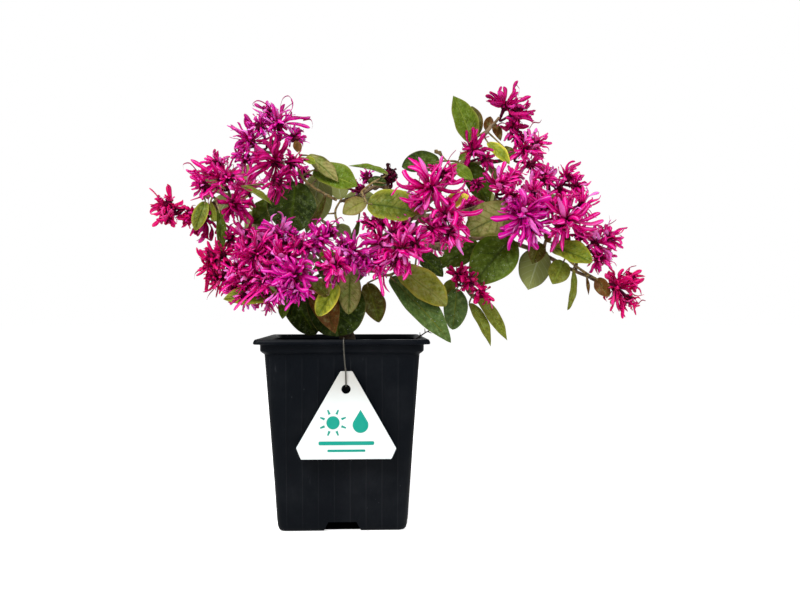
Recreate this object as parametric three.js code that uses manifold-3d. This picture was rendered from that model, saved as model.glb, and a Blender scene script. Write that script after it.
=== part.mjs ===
// Loropetalum bonsai in a square nursery pot, with its wired hang tag.
// Millimetres, +Z up. The origin is the centre of the pot's base, +Y points away from the viewer.

import * as THREE from "three";
import { mergeVertices } from "three/addons/utils/BufferGeometryUtils.js";
import Module from "manifold-3d";

const wasm = await Module();
wasm.setup();

// Driving dimensions of the pot
const POT_HEIGHT = 122;
const LIP_HALF = 55;
const COLLAR_HALF = 51.3;
const BODY_TOP_HALF = 48.9;
const BASE_HALF = 41;
const WALL = 1.3;
const FLOOR = 1.6;
const CORNER = 5.4;
const NOTCH_TOP_WIDTH = 17.8;
const NOTCH_FOOT_WIDTH = 24.6;
const NOTCH_HEIGHT = 6;
const NOTCH_DEPTH = 5;
const SOIL_LEVEL = 111;

// Driving dimensions of the tag and its wire
const TAG_THICKNESS = 1;
const TAG_FRONT = -53.2;
const TAG_HOLE = { x: 2.5, z: 91.2, radius: 3 };
const WIRE_RADIUS = 0.5;

// Clearance between pieces that rest on each other
const SEAT = 0.3;

// The viewer's eye: foliage is laid out as it is seen on the plane y = 0
const EYE = new THREE.Vector3(13.6, -555, 140.85);

// Foliage sizes
const CORE_RADIUS = 3.2;
const STALK_LENGTH = 8;
const LEAF_THICKNESS = 0.9;

const COLOURS = {
  pot: 0x17191c,
  soil: 0x2e221a,
  wood: 0x6f5a45,
  deadTwig: 0x54463a,
  tag: 0xf4f3ef,
  wire: 0x77756c,
  magenta: 0xd40f86,
  crimson: 0xa8004d,
  violet: 0xd24bb4,
  withered: 0x4a1526,
  green: 0x47631f,
  deepGreen: 0x33501a,
  olive: 0x7a7d39,
  yellowGreen: 0xa3ad38,
  bronze: 0x70502f,
  greyGreen: 0x7d8b5e,
};

const object = new THREE.Group();

// Repeatable draws, one small generator for each seed

function draws(seed) {
  let state = (seed * 7919 + 12345) % 2147483647;
  const next = () => {
    state = (state * 48271) % 2147483647;
    return state / 2147483647;
  };
  next();
  next();
  return next;
}

function sight(x, z, y) {
  const point = new THREE.Vector3(x, 0, z);
  return point.sub(EYE).multiplyScalar((y - EYE.y) / -EYE.y).add(EYE);
}

// Solids

function geometryOf(positions, indices) {
  const geometry = new THREE.BufferGeometry();
  geometry.setAttribute("position", new THREE.Float32BufferAttribute(positions, 3));
  geometry.setIndex(indices);
  return geometry;
}

function solidOf(geometry) {
  let plain = geometry.clone();
  plain.deleteAttribute("normal");
  plain.deleteAttribute("uv");
  plain = mergeVertices(plain, 1e-4);
  return new wasm.Manifold(new wasm.Mesh({
    numProp: 3,
    vertProperties: new Float32Array(plain.attributes.position.array),
    triVerts: new Uint32Array(plain.index.array),
  }));
}

function largestBody(solid) {
  const bodies = solid.decompose();
  bodies.sort((a, b) => b.volume() - a.volume());
  return bodies[0];
}

function addMesh(name, geometry, colour, roughness = 0.7, metalness = 0) {
  const material = new THREE.MeshStandardMaterial({ color: colour, roughness, metalness });
  const mesh = new THREE.Mesh(geometry, material);
  mesh.name = name;
  object.add(mesh);
}

function addSolid(name, solid, colour, roughness, metalness) {
  const mesh = largestBody(solid.simplify(0.004)).getMesh();
  addMesh(name, geometryOf(mesh.vertProperties, Array.from(mesh.triVerts)), colour, roughness, metalness);
}

// A closed body through rings of points; the facets split alike on both faces of a blade
function loft(rings) {
  const size = rings[0].length;
  const positions = [];
  const indices = [];
  for (const ring of rings) {
    for (const p of ring) positions.push(p.x, p.y, p.z);
  }
  for (let i = 0; i + 1 < rings.length; i += 1) {
    for (let j = 0; j < size; j += 1) {
      const a = i * size + j;
      const b = i * size + ((j + 1) % size);
      const c = b + size;
      const d = a + size;
      if (j % 2 === 0) indices.push(a, b, c, a, c, d);
      else indices.push(a, b, d, b, c, d);
    }
  }
  const last = (rings.length - 1) * size;
  for (let j = 1; j + 1 < size; j += 1) {
    indices.push(0, j + 1, j);
    indices.push(last, last + j, last + j + 1);
  }
  return geometryOf(positions, indices);
}

function anyNormal(direction) {
  const helper = Math.abs(direction.z) < 0.8 ? new THREE.Vector3(0, 0, 1) : new THREE.Vector3(1, 0, 0);
  return helper.addScaledVector(direction, -helper.dot(direction)).normalize();
}

// A tapered tube with few sides along a curve
function tubeRings(curve, steps, sides, startRadius, endRadius) {
  const rings = [];
  let side = anyNormal(curve.getTangent(0));
  for (let i = 0; i <= steps; i += 1) {
    const s = i / steps;
    const tangent = curve.getTangent(s);
    side = side.clone().addScaledVector(tangent, -side.dot(tangent)).normalize();
    const other = new THREE.Vector3().crossVectors(tangent, side);
    const radius = startRadius + (endRadius - startRadius) * s;
    const centre = curve.getPoint(s);
    const ring = [];
    for (let j = 0; j < sides; j += 1) {
      const angle = (2 * Math.PI * j) / sides;
      ring.push(centre.clone()
        .addScaledVector(side, radius * Math.cos(angle))
        .addScaledVector(other, radius * Math.sin(angle)));
    }
    rings.push(ring);
  }
  return rings;
}

// Space already taken, so that nothing crosses

const taken = [];

function boxOf(solid) {
  const box = solid.boundingBox();
  return new THREE.Box3(new THREE.Vector3(...box.min), new THREE.Vector3(...box.max));
}

function isClear(solid, gap, ignore) {
  const box = boxOf(solid).expandByScalar(gap);
  for (const entry of taken) {
    if (!entry.box.intersectsBox(box)) continue;
    if (ignore(entry.owner)) continue;
    if (solid.minGap(entry.solid, gap * 1.5) < gap) return false;
  }
  return true;
}

function take(solid, owner) {
  taken.push({ solid, box: boxOf(solid), owner });
}

// Pot: one moulded wall with a stepped collar and an outward lip

function squareRing(half, corner, z) {
  const ring = [];
  const steps = 2;
  for (let q = 0; q < 4; q += 1) {
    const cx = (q === 0 || q === 3 ? 1 : -1) * (half - corner);
    const cy = (q < 2 ? 1 : -1) * (half - corner);
    for (let i = 0; i <= steps; i += 1) {
      const angle = (Math.PI / 2) * (q + i / steps);
      ring.push(new THREE.Vector3(cx + corner * Math.cos(angle), cy + corner * Math.sin(angle), z));
    }
  }
  return ring;
}

function bodyHalf(z) {
  return BASE_HALF + ((BODY_TOP_HALF - BASE_HALF) * z) / 113.5;
}

function notchPrism(extraWidth, extraHeight, depth) {
  const outline = new THREE.Shape();
  outline.moveTo(-NOTCH_FOOT_WIDTH / 2 - extraWidth, -1);
  outline.lineTo(NOTCH_FOOT_WIDTH / 2 + extraWidth, -1);
  outline.lineTo(NOTCH_TOP_WIDTH / 2 + extraWidth, NOTCH_HEIGHT + extraHeight);
  outline.lineTo(-NOTCH_TOP_WIDTH / 2 - extraWidth, NOTCH_HEIGHT + extraHeight);
  outline.closePath();
  const prism = new THREE.ExtrudeGeometry(outline, { depth, bevelEnabled: false });
  prism.rotateX(Math.PI / 2);
  return prism;
}

function eachSide(make) {
  const solids = [];
  for (let q = 0; q < 4; q += 1) {
    const geometry = make();
    geometry.rotateZ((q * Math.PI) / 2);
    solids.push(solidOf(geometry));
  }
  return solids;
}

const OUTER_RINGS = [
  squareRing(38.8, 3.4, 0),
  squareRing(40.5, 4.6, 1),
  squareRing(bodyHalf(3.4), CORNER, 3.4),
  squareRing(bodyHalf(112.6), CORNER, 112.6),
  squareRing(COLLAR_HALF - 0.7, CORNER, 113.9),
  squareRing(COLLAR_HALF, CORNER, 115),
  squareRing(COLLAR_HALF, CORNER, 118.4),
  squareRing(LIP_HALF - 0.4, CORNER + 0.4, 118.8),
  squareRing(LIP_HALF, CORNER + 0.4, 119.5),
  squareRing(LIP_HALF - 1.2, CORNER, POT_HEIGHT),
];
const INNER_RINGS = [
  squareRing(COLLAR_HALF + 0.6, CORNER, POT_HEIGHT),
  squareRing(COLLAR_HALF - WALL, CORNER, 119.6),
  squareRing(COLLAR_HALF - WALL, CORNER - 0.6, 115.4),
  squareRing(bodyHalf(112.6) - WALL, CORNER - 0.8, 113.2),
  squareRing(bodyHalf(3) - WALL, CORNER - 1, 3),
  squareRing(38.6, 3, FLOOR),
];

const notchBlocks = eachSide(() => {
  const prism = notchPrism(WALL, WALL, NOTCH_DEPTH + WALL);
  prism.translate(0, -BASE_HALF + 0.6 + NOTCH_DEPTH + WALL, 0);
  return prism;
});
const notchCuts = eachSide(() => {
  const prism = notchPrism(0, 0, NOTCH_DEPTH + 4);
  prism.translate(0, -BASE_HALF + NOTCH_DEPTH, 0);
  return prism;
});
const drainHoles = eachSide(() => {
  const hole = new THREE.CylinderGeometry(2, 2, 8, 8);
  hole.translate(0, -BASE_HALF + NOTCH_DEPTH + 1, 3.2);
  return hole;
});
const belowBase = solidOf(new THREE.BoxGeometry(120, 120, 4).translate(0, 0, -2));

let pot = solidOf(loft([...OUTER_RINGS, ...INNER_RINGS]));
for (const block of notchBlocks) pot = pot.add(block.subtract(belowBase));
for (const cut of notchCuts) pot = pot.subtract(cut);
for (const hole of drainHoles) pot = pot.subtract(hole);
addSolid("pot", pot, COLOURS.pot, 0.45);

// Limbs: the points are [x, z] as seen on the plane y = 0, then the depth y

const LIMBS = {
  trunk: { start: 6.2, end: 4.2, points: [[5, 84, 2], [4, 112, 2], [1, 128, 4], [3, 146, 8], [2, 166, 10]] },
  leftMain: { start: 3, end: 1, points: [[2, 158, 10], [-18, 180, 6], [-42, 189, 4], [-64, 203, 4], [-80, 213, 4], [-90, 213, 4]] },
  leftUpper: { start: 2.4, end: 0.9, points: [[-16, 178, 6], [-24, 204, 12], [-36, 228, 12], [-46, 248, 8], [-50, 258, 8]] },
  leftLow: { start: 2.4, end: 0.9, points: [[2, 148, 8], [-14, 156, -4], [-30, 160, -14], [-52, 158, -16], [-72, 166, -10], [-82, 176, -6]] },
  paleTwig: { start: 2, end: 1, points: [[44, 203, 14], [37, 217, 6], [24, 225.5, -2], [9, 218, -7], [-3, 214.5, -11]] },
  frontRight: { start: 2.4, end: 0.9, points: [[3, 156, 8], [20, 172, -6], [36, 186, -14], [50, 200, -18], [58, 212, -16]] },
  rightMain: { start: 3.6, end: 1.3, points: [[2, 160, 10], [22, 184, 14], [48, 206, 14], [68, 226, 12], [80, 240, 8], [88, 250, 4], [102, 268, 0]] },
  rightTop: { start: 1.8, end: 1, points: [[80, 240, 8], [96, 242, 4], [110, 244, 2], [118, 250, 2]] },
  rightMid: { start: 2.4, end: 0.9, points: [[46, 204, 14], [76, 206, 10], [102, 214, 4], [120, 216, 0], [138, 216, -4], [152, 219, -2]] },
  rightLow: { start: 2.4, end: 1, points: [[20, 182, 14], [58, 184, 20], [98, 190, 16], [130, 182, 4], [158, 168, -4], [172, 162, -6]] },
  rightDown: { start: 2, end: 0.9, points: [[60, 184, 20], [78, 178, 6], [82, 164, 0], [86, 152, -2], [96, 144, -4]] },
  backLeft: { start: 2.6, end: 0.9, points: [[1, 156, 10], [-22, 176, 30], [-46, 190, 46], [-66, 196, 56]] },
  backRight: { start: 2.6, end: 0.9, points: [[2, 160, 12], [30, 176, 34], [66, 192, 48], [104, 202, 52]] },
  backUpper: { start: 2.4, end: 1, points: [[1, 164, 12], [2, 184, 30], [-8, 196, 46], [-16, 202, 60]] },
};

function limbCurve(limb) {
  return new THREE.CatmullRomCurve3(limb.points.map(([x, z, y]) => sight(x, z, y)), false, "centripetal");
}

const woodTubes = [];
const limbSamples = [];
for (const [name, limb] of Object.entries(LIMBS)) {
  const curve = limbCurve(limb);
  const steps = limb.points.length;
  const sides = name === "trunk" ? 8 : 4;
  woodTubes.push(solidOf(loft(tubeRings(curve, steps, sides, limb.start, limb.end))));
  for (let i = 2; i <= 40; i += 1) limbSamples.push(curve.getPoint(i / 40));
}

function nearestSample(point) {
  let best = null;
  let least = Infinity;
  for (const sample of limbSamples) {
    const rise = Math.max(0, sample.z - point.z);
    const cost = sample.distanceTo(point) + rise;
    if (cost < least) {
      least = cost;
      best = sample;
    }
  }
  return best;
}

// Flower heads: a small core whose faces grow out into strap petals

const CROWN_CENTRE = new THREE.Vector3(35, 8, 178);
const CROWN_SIZE = new THREE.Vector3(150, 62, 85);
const GOLDEN = (1 + Math.sqrt(5)) / 2;
const CORE_CORNERS = [
  [-1, GOLDEN, 0], [1, GOLDEN, 0], [-1, -GOLDEN, 0], [1, -GOLDEN, 0],
  [0, -1, GOLDEN], [0, 1, GOLDEN], [0, -1, -GOLDEN], [0, 1, -GOLDEN],
  [GOLDEN, 0, -1], [GOLDEN, 0, 1], [-GOLDEN, 0, -1], [-GOLDEN, 0, 1],
];
const CORE_FACES = [
  [0, 11, 5], [0, 5, 1], [0, 1, 7], [0, 7, 10], [0, 10, 11],
  [1, 5, 9], [5, 11, 4], [11, 10, 2], [10, 7, 6], [7, 1, 8],
  [3, 9, 4], [3, 4, 2], [3, 2, 6], [3, 6, 8], [3, 8, 9],
  [4, 9, 5], [2, 4, 11], [6, 2, 10], [8, 6, 7], [9, 8, 1],
];
const FINE_PETAL = [[0.24, 0.6, 0.9], [0.62, 1, 0.8], [1, 0.5, 0.65]];
const PLAIN_PETAL = [[0.55, 0.95, 0.85], [1, 0.5, 0.65]];
const PETAL_WIDENING = 1.3;
const DEPTH_STEPS = [0.35, 0, 0.7, -0.35, 0.9, -0.7];
const RULE_TRIES = 7;

function headFrame(head) {
  const centre = sight(...head.at);
  const outward = centre.clone().sub(CROWN_CENTRE).divide(CROWN_SIZE).normalize();
  const limb = nearestSample(centre);
  const away = centre.clone().sub(limb).normalize();
  const facing = outward.multiplyScalar(0.7).add(away.multiplyScalar(0.6)).normalize();
  if (head.facing) facing.set(...head.facing).normalize();
  const random = draws(head.seed);
  const first = faceNormal(CORE_CORNERS.map((c) => new THREE.Vector3(...c)), 0);
  const turn = new THREE.Quaternion().setFromUnitVectors(first, facing.clone().negate());
  const roll = new THREE.Quaternion().setFromAxisAngle(facing, 2 * Math.PI * random());
  const corners = CORE_CORNERS.map((c) => new THREE.Vector3(...c)
    .normalize()
    .multiplyScalar(CORE_RADIUS)
    .applyQuaternion(turn)
    .applyQuaternion(roll));
  return { centre, facing, corners };
}

function faceNormal(corners, face) {
  const [a, b, c] = CORE_FACES[face].map((i) => corners[i]);
  return new THREE.Vector3().add(a).add(b).add(c).normalize();
}

// Rings of one petal from its face of the core: three corners each, two edges and a keel
function petalRings(head, frame, face, tip, random, fine) {
  const normal = faceNormal(frame.corners, face);
  const toTip = tip.clone().sub(frame.centre);
  const length = toTip.length();
  toTip.normalize();
  const leave = normal.clone().multiplyScalar(0.75).add(toTip.multiplyScalar(0.6)).normalize();
  const start = frame.centre.clone().addScaledVector(normal, CORE_RADIUS * 0.79);
  const sideways = new THREE.Vector3(random() - 0.5, random() - 0.5, random() - 0.5);
  const bend = frame.centre.clone()
    .addScaledVector(leave, length * 0.6)
    .addScaledVector(sideways, length * 0.5);
  const curve = new THREE.QuadraticBezierCurve3(start, bend, tip);
  const corners = CORE_FACES[face].map((i) => frame.corners[i]);
  const turn = Math.floor(random() * 3);
  let side = corners[(turn + 1) % 3].clone().sub(corners[turn]);
  const twist = (random() - 0.5) * 1.1;
  const width = head.width * PETAL_WIDENING * (0.85 + 0.3 * random());
  const rings = [];
  for (const [s, spread, keel] of fine ? FINE_PETAL : PLAIN_PETAL) {
    const tangent = curve.getTangent(s);
    side.addScaledVector(tangent, -side.dot(tangent)).normalize();
    side.applyAxisAngle(tangent, s > 0.5 ? twist : 0);
    const under = new THREE.Vector3().crossVectors(tangent, side);
    const p = curve.getPoint(s);
    rings.push([
      p.clone().addScaledVector(side, -0.5 * width * spread),
      p.clone().addScaledVector(side, 0.5 * width * spread),
      p.clone().addScaledVector(under, keel),
    ]);
  }
  const root = [0, 1, 2].map((i) => corners[(turn + i) % 3].clone().add(frame.centre));
  const rootIndex = [0, 1, 2].map((i) => CORE_FACES[face][(turn + i) % 3]);
  return { rings, root, rootIndex };
}

function seenTip(head, frame, tip, attempt) {
  const flat = sight(tip[0], tip[1], head.at[2]).sub(frame.centre);
  const across = Math.hypot(flat.x, flat.z);
  const depth = Math.sqrt(Math.max(0, Math.max(head.reach, across * 1.06) ** 2 - across ** 2));
  return sight(tip[0], tip[1], head.at[2] - depth * DEPTH_STEPS[attempt]);
}

function ruleTip(head, frame, face, random, attempt) {
  const direction = faceNormal(frame.corners, face);
  direction.x += (random() - 0.5) * 0.9;
  direction.y += (random() - 0.5) * 0.9;
  direction.z += (random() - 0.5) * 0.9 - 0.12;
  direction.normalize();
  const length = head.reach * (0.8 + 0.28 * random()) * (1 - 0.05 * attempt);
  return frame.centre.clone().addScaledVector(direction, length);
}

function coreSolid(frame) {
  const positions = frame.corners.flatMap((c) => [c.x + frame.centre.x, c.y + frame.centre.y, c.z + frame.centre.z]);
  return solidOf(geometryOf(positions, CORE_FACES.flat()));
}

function stalkRings(frame) {
  const rings = [];
  let side = frame.corners[CORE_FACES[0][1]].clone().sub(frame.corners[CORE_FACES[0][0]]);
  const back = frame.facing.clone().negate();
  for (const [distance, radius] of [[4.6, 1.3], [STALK_LENGTH, 0.9]]) {
    side = side.clone().addScaledVector(back, -side.dot(back)).normalize();
    const under = new THREE.Vector3().crossVectors(back, side);
    const p = frame.centre.clone().addScaledVector(back, distance);
    rings.push([
      p.clone().addScaledVector(side, -radius).addScaledVector(under, -0.5 * radius),
      p.clone().addScaledVector(side, radius).addScaledVector(under, -0.5 * radius),
      p.clone().addScaledVector(under, radius),
    ]);
  }
  return rings;
}

// Each spray: its colour and its heads, at [x, z, y] as seen on the plane y = 0,
// with the reach of the petals, their width, their number and the tips that are seen
const SPRAYS = {
  head_far_left: { colour: "crimson", heads: [
    { at: [-117, 209, -4], reach: 17, width: 2.1, count: 11, seed: 1, fine: true,
      tips: [[-132, 223], [-119, 227], [-132, 211], [-131, 205], [-130, 196], [-118, 198], [-107, 214]] },
    { at: [-103, 206, -2], reach: 11, width: 2.6, count: 6, seed: 2, tips: [[-111, 197], [-112, 209]] },
  ] },
  head_left_upper: { colour: "magenta", heads: [
    { at: [-83, 229, -8], reach: 22, width: 2.4, count: 13, seed: 3, fine: true,
      tips: [[-107, 231], [-106, 237], [-105, 241], [-91, 247], [-88, 250], [-105, 215], [-96, 218], [-76, 235], [-70, 218]] },
  ] },
  head_left_purple: { colour: "violet", heads: [
    { at: [-75, 213, -16], reach: 18, width: 2.8, count: 12, seed: 4,
      tips: [[-88, 211], [-80, 199], [-62, 222], [-70, 197], [-61, 199], [-57, 211]] },
    { at: [-67, 192, -22], reach: 14, width: 2.3, count: 9, seed: 10, tips: [[-79, 192], [-77, 198], [-60, 196], [-72, 181]] },
  ] },
  head_top_left: { colour: "magenta", heads: [
    { at: [-63, 254, 0], reach: 21, width: 2.6, count: 13, seed: 5, fine: true,
      tips: [[-81, 264], [-78, 266], [-80, 238], [-72, 235], [-68, 275], [-65, 272], [-60, 240], [-75, 251]] },
  ] },
  head_top_left_tip: { colour: "crimson", heads: [
    { at: [-45, 266, 0], reach: 20, width: 2.3, count: 13, seed: 6, fine: true,
      tips: [[-62, 281], [-50, 282], [-42, 283], [-55, 258], [-22, 270], [-28, 260], [-33, 252], [-48, 250], [-36, 285]] },
  ] },
  head_left_skirt: { colour: "magenta", heads: [
    { at: [-47, 241, -18], reach: 24, width: 2.8, count: 14, seed: 7,
      tips: [[-58, 222], [-52, 216], [-46, 213], [-41, 214], [-66, 226], [-70, 232], [-38, 254], [-31, 226], [-26, 242]] },
  ] },
  head_left_low_red: { colour: "crimson", heads: [
    { at: [-88, 171, -16], reach: 17, width: 2.5, count: 12, seed: 8,
      tips: [[-101, 182], [-98, 177], [-93, 187], [-99, 166], [-94, 152], [-90, 149], [-83, 156]] },
  ] },
  head_left_hanging: { colour: "magenta", heads: [
    { at: [-95, 203, -4], reach: 16, width: 3.2, count: 8, seed: 9,
      tips: [[-102, 187], [-98, 185], [-91, 187]] },
  ] },
  head_front_left: { colour: "magenta", heads: [
    { at: [-60, 177, -36], reach: 21, width: 2.6, count: 13, seed: 11,
      tips: [[-74, 190], [-79, 178], [-62, 196], [-46, 194], [-72, 166]] },
  ] },
  head_front_left_low: { colour: "magenta", heads: [
    { at: [-66, 159, -30], reach: 19, width: 2.6, count: 12, seed: 12,
      tips: [[-74, 140], [-83, 151], [-84, 162], [-64, 142], [-80, 146]] },
    { at: [-53, 149, -28], reach: 13, width: 2.2, count: 7, seed: 13,
      tips: [[-47, 137], [-55, 136], [-60, 140]] },
  ] },
  head_front_arch: { colour: "violet", heads: [
    { at: [-45, 190, -30], reach: 17, width: 2.4, count: 10, seed: 14,
      tips: [[-49, 208], [-33, 197], [-42, 210], [-56, 198]] },
  ] },
  head_front_centre: { colour: "magenta", heads: [
    { at: [-39, 176, -42], reach: 18, width: 2.6, count: 11, seed: 15,
      tips: [[-46, 191], [-52, 170], [-26, 184]] },
  ] },
  head_front_bright: { colour: "magenta", heads: [
    { at: [-34, 163, -52], reach: 20, width: 3.3, count: 12, seed: 16,
      tips: [[-44, 150], [-36, 143], [-26, 147], [-50, 160], [-18, 160], [-52, 148]] },
  ] },
  head_centre_dark: { colour: "crimson", heads: [
    { at: [-16, 189, -34], reach: 17, width: 2.3, count: 11, seed: 17,
      tips: [[-2, 201], [-5, 186], [-25, 199], [-17, 203], [-10, 201]] },
  ] },
  head_centre_low: { colour: "violet", heads: [
    { at: [-6, 171, -48], reach: 15, width: 3.2, count: 9, seed: 18,
      tips: [[-10, 155], [0, 158], [-20, 173], [6, 166]] },
  ] },
  head_centre: { colour: "magenta", heads: [
    { at: [6, 180, -40], reach: 18, width: 2.7, count: 12, seed: 19,
      tips: [[11, 158], [-6, 176], [1, 196], [18, 168], [14, 196]] },
  ] },
  head_centre_right: { colour: "magenta", heads: [
    { at: [25, 186, -34], reach: 19, width: 2.7, count: 12, seed: 20,
      tips: [[15, 203], [26, 150], [20, 166], [34, 202], [32, 168]] },
    { at: [24, 199, -14], reach: 11, width: 2.4, count: 7, seed: 21, tips: [[20, 206], [33, 204]] },
  ] },
  head_centre_front: { colour: "magenta", heads: [
    { at: [39, 182, -50], reach: 21, width: 2.8, count: 13, seed: 22,
      tips: [[61, 182], [45, 163], [53, 171], [36, 163], [30, 198], [37, 196]] },
    { at: [42, 196, -30], reach: 13, width: 3, count: 8, seed: 23, tips: [[40, 206], [54, 197]] },
  ] },
  head_small_pale: { colour: "violet", heads: [
    { at: [16, 231, 12], reach: 9, width: 1.9, count: 7, seed: 24, tips: [[14, 242], [21, 236], [12, 227]] },
    { at: [11, 223, 16], reach: 8, width: 2.2, count: 5, seed: 25, tips: [[14, 217]] },
  ] },
  head_big_front: { colour: "magenta", heads: [
    { at: [59, 224, -44], reach: 26, width: 2.7, count: 15, seed: 26, fine: true,
      tips: [[32, 231], [30, 222], [44, 246], [51, 246], [62, 241], [69, 247], [78, 245], [82, 236], [87, 228], [48, 208], [83, 202]] },
  ] },
  head_big_low: { colour: "violet", heads: [
    { at: [69, 205, -42], reach: 24, width: 3.2, count: 14, seed: 27, fine: true,
      tips: [[67, 180], [79, 176], [87, 183], [96, 210], [57, 190], [54, 203], [60, 186], [75, 182]] },
  ] },
  head_right_hidden: { colour: "crimson", heads: [
    { at: [79, 164, -18], reach: 11, width: 2.4, count: 9, seed: 28, tips: [[71, 171], [81, 173], [69, 166], [88, 165]] },
    { at: [94, 152, -18], reach: 11, width: 2.6, count: 8, seed: 29, tips: [[105, 142], [99, 143], [100, 154]] },
  ] },
  head_right_purple: { colour: "violet", heads: [
    { at: [123, 206, -30], reach: 23, width: 3.4, count: 14, seed: 30, fine: true,
      tips: [[100, 203], [104, 191], [109, 180], [127, 181], [134, 182], [112, 213], [118, 188]] },
  ] },
  head_far_right: { colour: "magenta", heads: [
    { at: [188, 156, -14], reach: 20, width: 2.7, count: 14, seed: 31, fine: true,
      tips: [[193, 170], [207, 169], [211, 164], [207, 145], [208, 139], [199, 137], [193, 134], [186, 139]] },
  ] },
  head_right_edge: { colour: "magenta", heads: [
    { at: [174, 187, -8], reach: 20, width: 2.6, count: 13, seed: 32, fine: true,
      tips: [[195, 191], [190, 188], [190, 177], [184, 171], [177, 166], [186, 203], [175, 199]] },
  ] },
  head_right_bright: { colour: "magenta", heads: [
    { at: [153, 203, -26], reach: 25, width: 2.9, count: 14, seed: 33, fine: true,
      tips: [[140, 217], [152, 226], [159, 226], [168, 214], [180, 211], [181, 201], [168, 192], [143, 179]] },
  ] },
  head_right_red: { colour: "crimson", heads: [
    { at: [154, 232, -2], reach: 14, width: 2.5, count: 10, seed: 34,
      tips: [[165, 243], [160, 244], [151, 242], [166, 235], [165, 228]] },
    { at: [141, 229, 8], reach: 12, width: 2.2, count: 6, seed: 35, tips: [[145, 240], [136, 240]] },
  ] },
  head_right_middle: { colour: "magenta", heads: [
    { at: [131, 221, -14], reach: 17, width: 2.5, count: 11, seed: 36,
      tips: [[129, 237], [137, 229], [118, 216], [146, 214], [124, 231]] },
  ] },
  head_right_centre: { colour: "magenta", heads: [
    { at: [108, 226, -14], reach: 15, width: 2.8, count: 10, seed: 37,
      tips: [[97, 240], [110, 243], [118, 238], [122, 222], [116, 215]] },
  ] },
  head_top_right: { colour: "crimson", heads: [
    { at: [111, 281, -2], reach: 17, width: 2.4, count: 13, seed: 38, fine: true,
      tips: [[97, 289], [102, 293], [111, 295], [122, 298], [129, 287], [130, 281], [133, 274], [101, 285]] },
    { at: [117, 266, 4], reach: 14, width: 2.8, count: 9, seed: 39, tips: [[128, 269], [126, 261], [110, 257], [104, 268]] },
  ] },
  head_right_upper: { colour: "magenta", heads: [
    { at: [125, 251, -4], reach: 17, width: 2.6, count: 11, seed: 40,
      tips: [[134, 266], [141, 263], [140, 248], [141, 240], [128, 238], [114, 244]] },
  ] },
  head_right_inner: { colour: "violet", heads: [
    { at: [88, 250, -12], reach: 15, width: 2.4, count: 10, seed: 41,
      tips: [[92, 266], [98, 264], [103, 253], [98, 245], [84, 259], [84, 240]] },
  ] },
  head_back_left_a: { colour: "magenta", heads: [
    { at: [-66, 222, 40], reach: 19, width: 2.7, count: 10, seed: 42, tips: [] },
    { at: [-40, 202, 66], reach: 18, width: 2.6, count: 9, seed: 43, tips: [] },
  ] },
  head_back_left_b: { colour: "magenta", heads: [
    { at: [-62, 178, 58], reach: 18, width: 2.7, count: 10, seed: 44, tips: [] },
  ] },
  head_back_right_a: { colour: "magenta", heads: [
    { at: [86, 212, 56], reach: 19, width: 2.7, count: 10, seed: 45, tips: [] },
    { at: [118, 204, 48], reach: 17, width: 2.6, count: 9, seed: 46, tips: [] },
  ] },
  head_back_right_b: { colour: "magenta", heads: [
    { at: [62, 188, 66], reach: 19, width: 2.7, count: 10, seed: 47, tips: [] },
  ] },
};

// Leafy stems: the twig runs through [x, z, y] points, and each leaf goes from its base to its tip.
// The face says where the upper side of the leaf looks.
const FACES = {
  front: [0.1, -0.92, 0.4],
  up: [0, -0.4, 0.92],
  left: [-0.62, -0.72, 0.3],
  right: [0.62, -0.72, 0.3],
  under: [0.15, 0.85, 0.5],
  edge: [0.85, -0.1, 0.5],
  back: [0, 0.8, 0.6],
};

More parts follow.
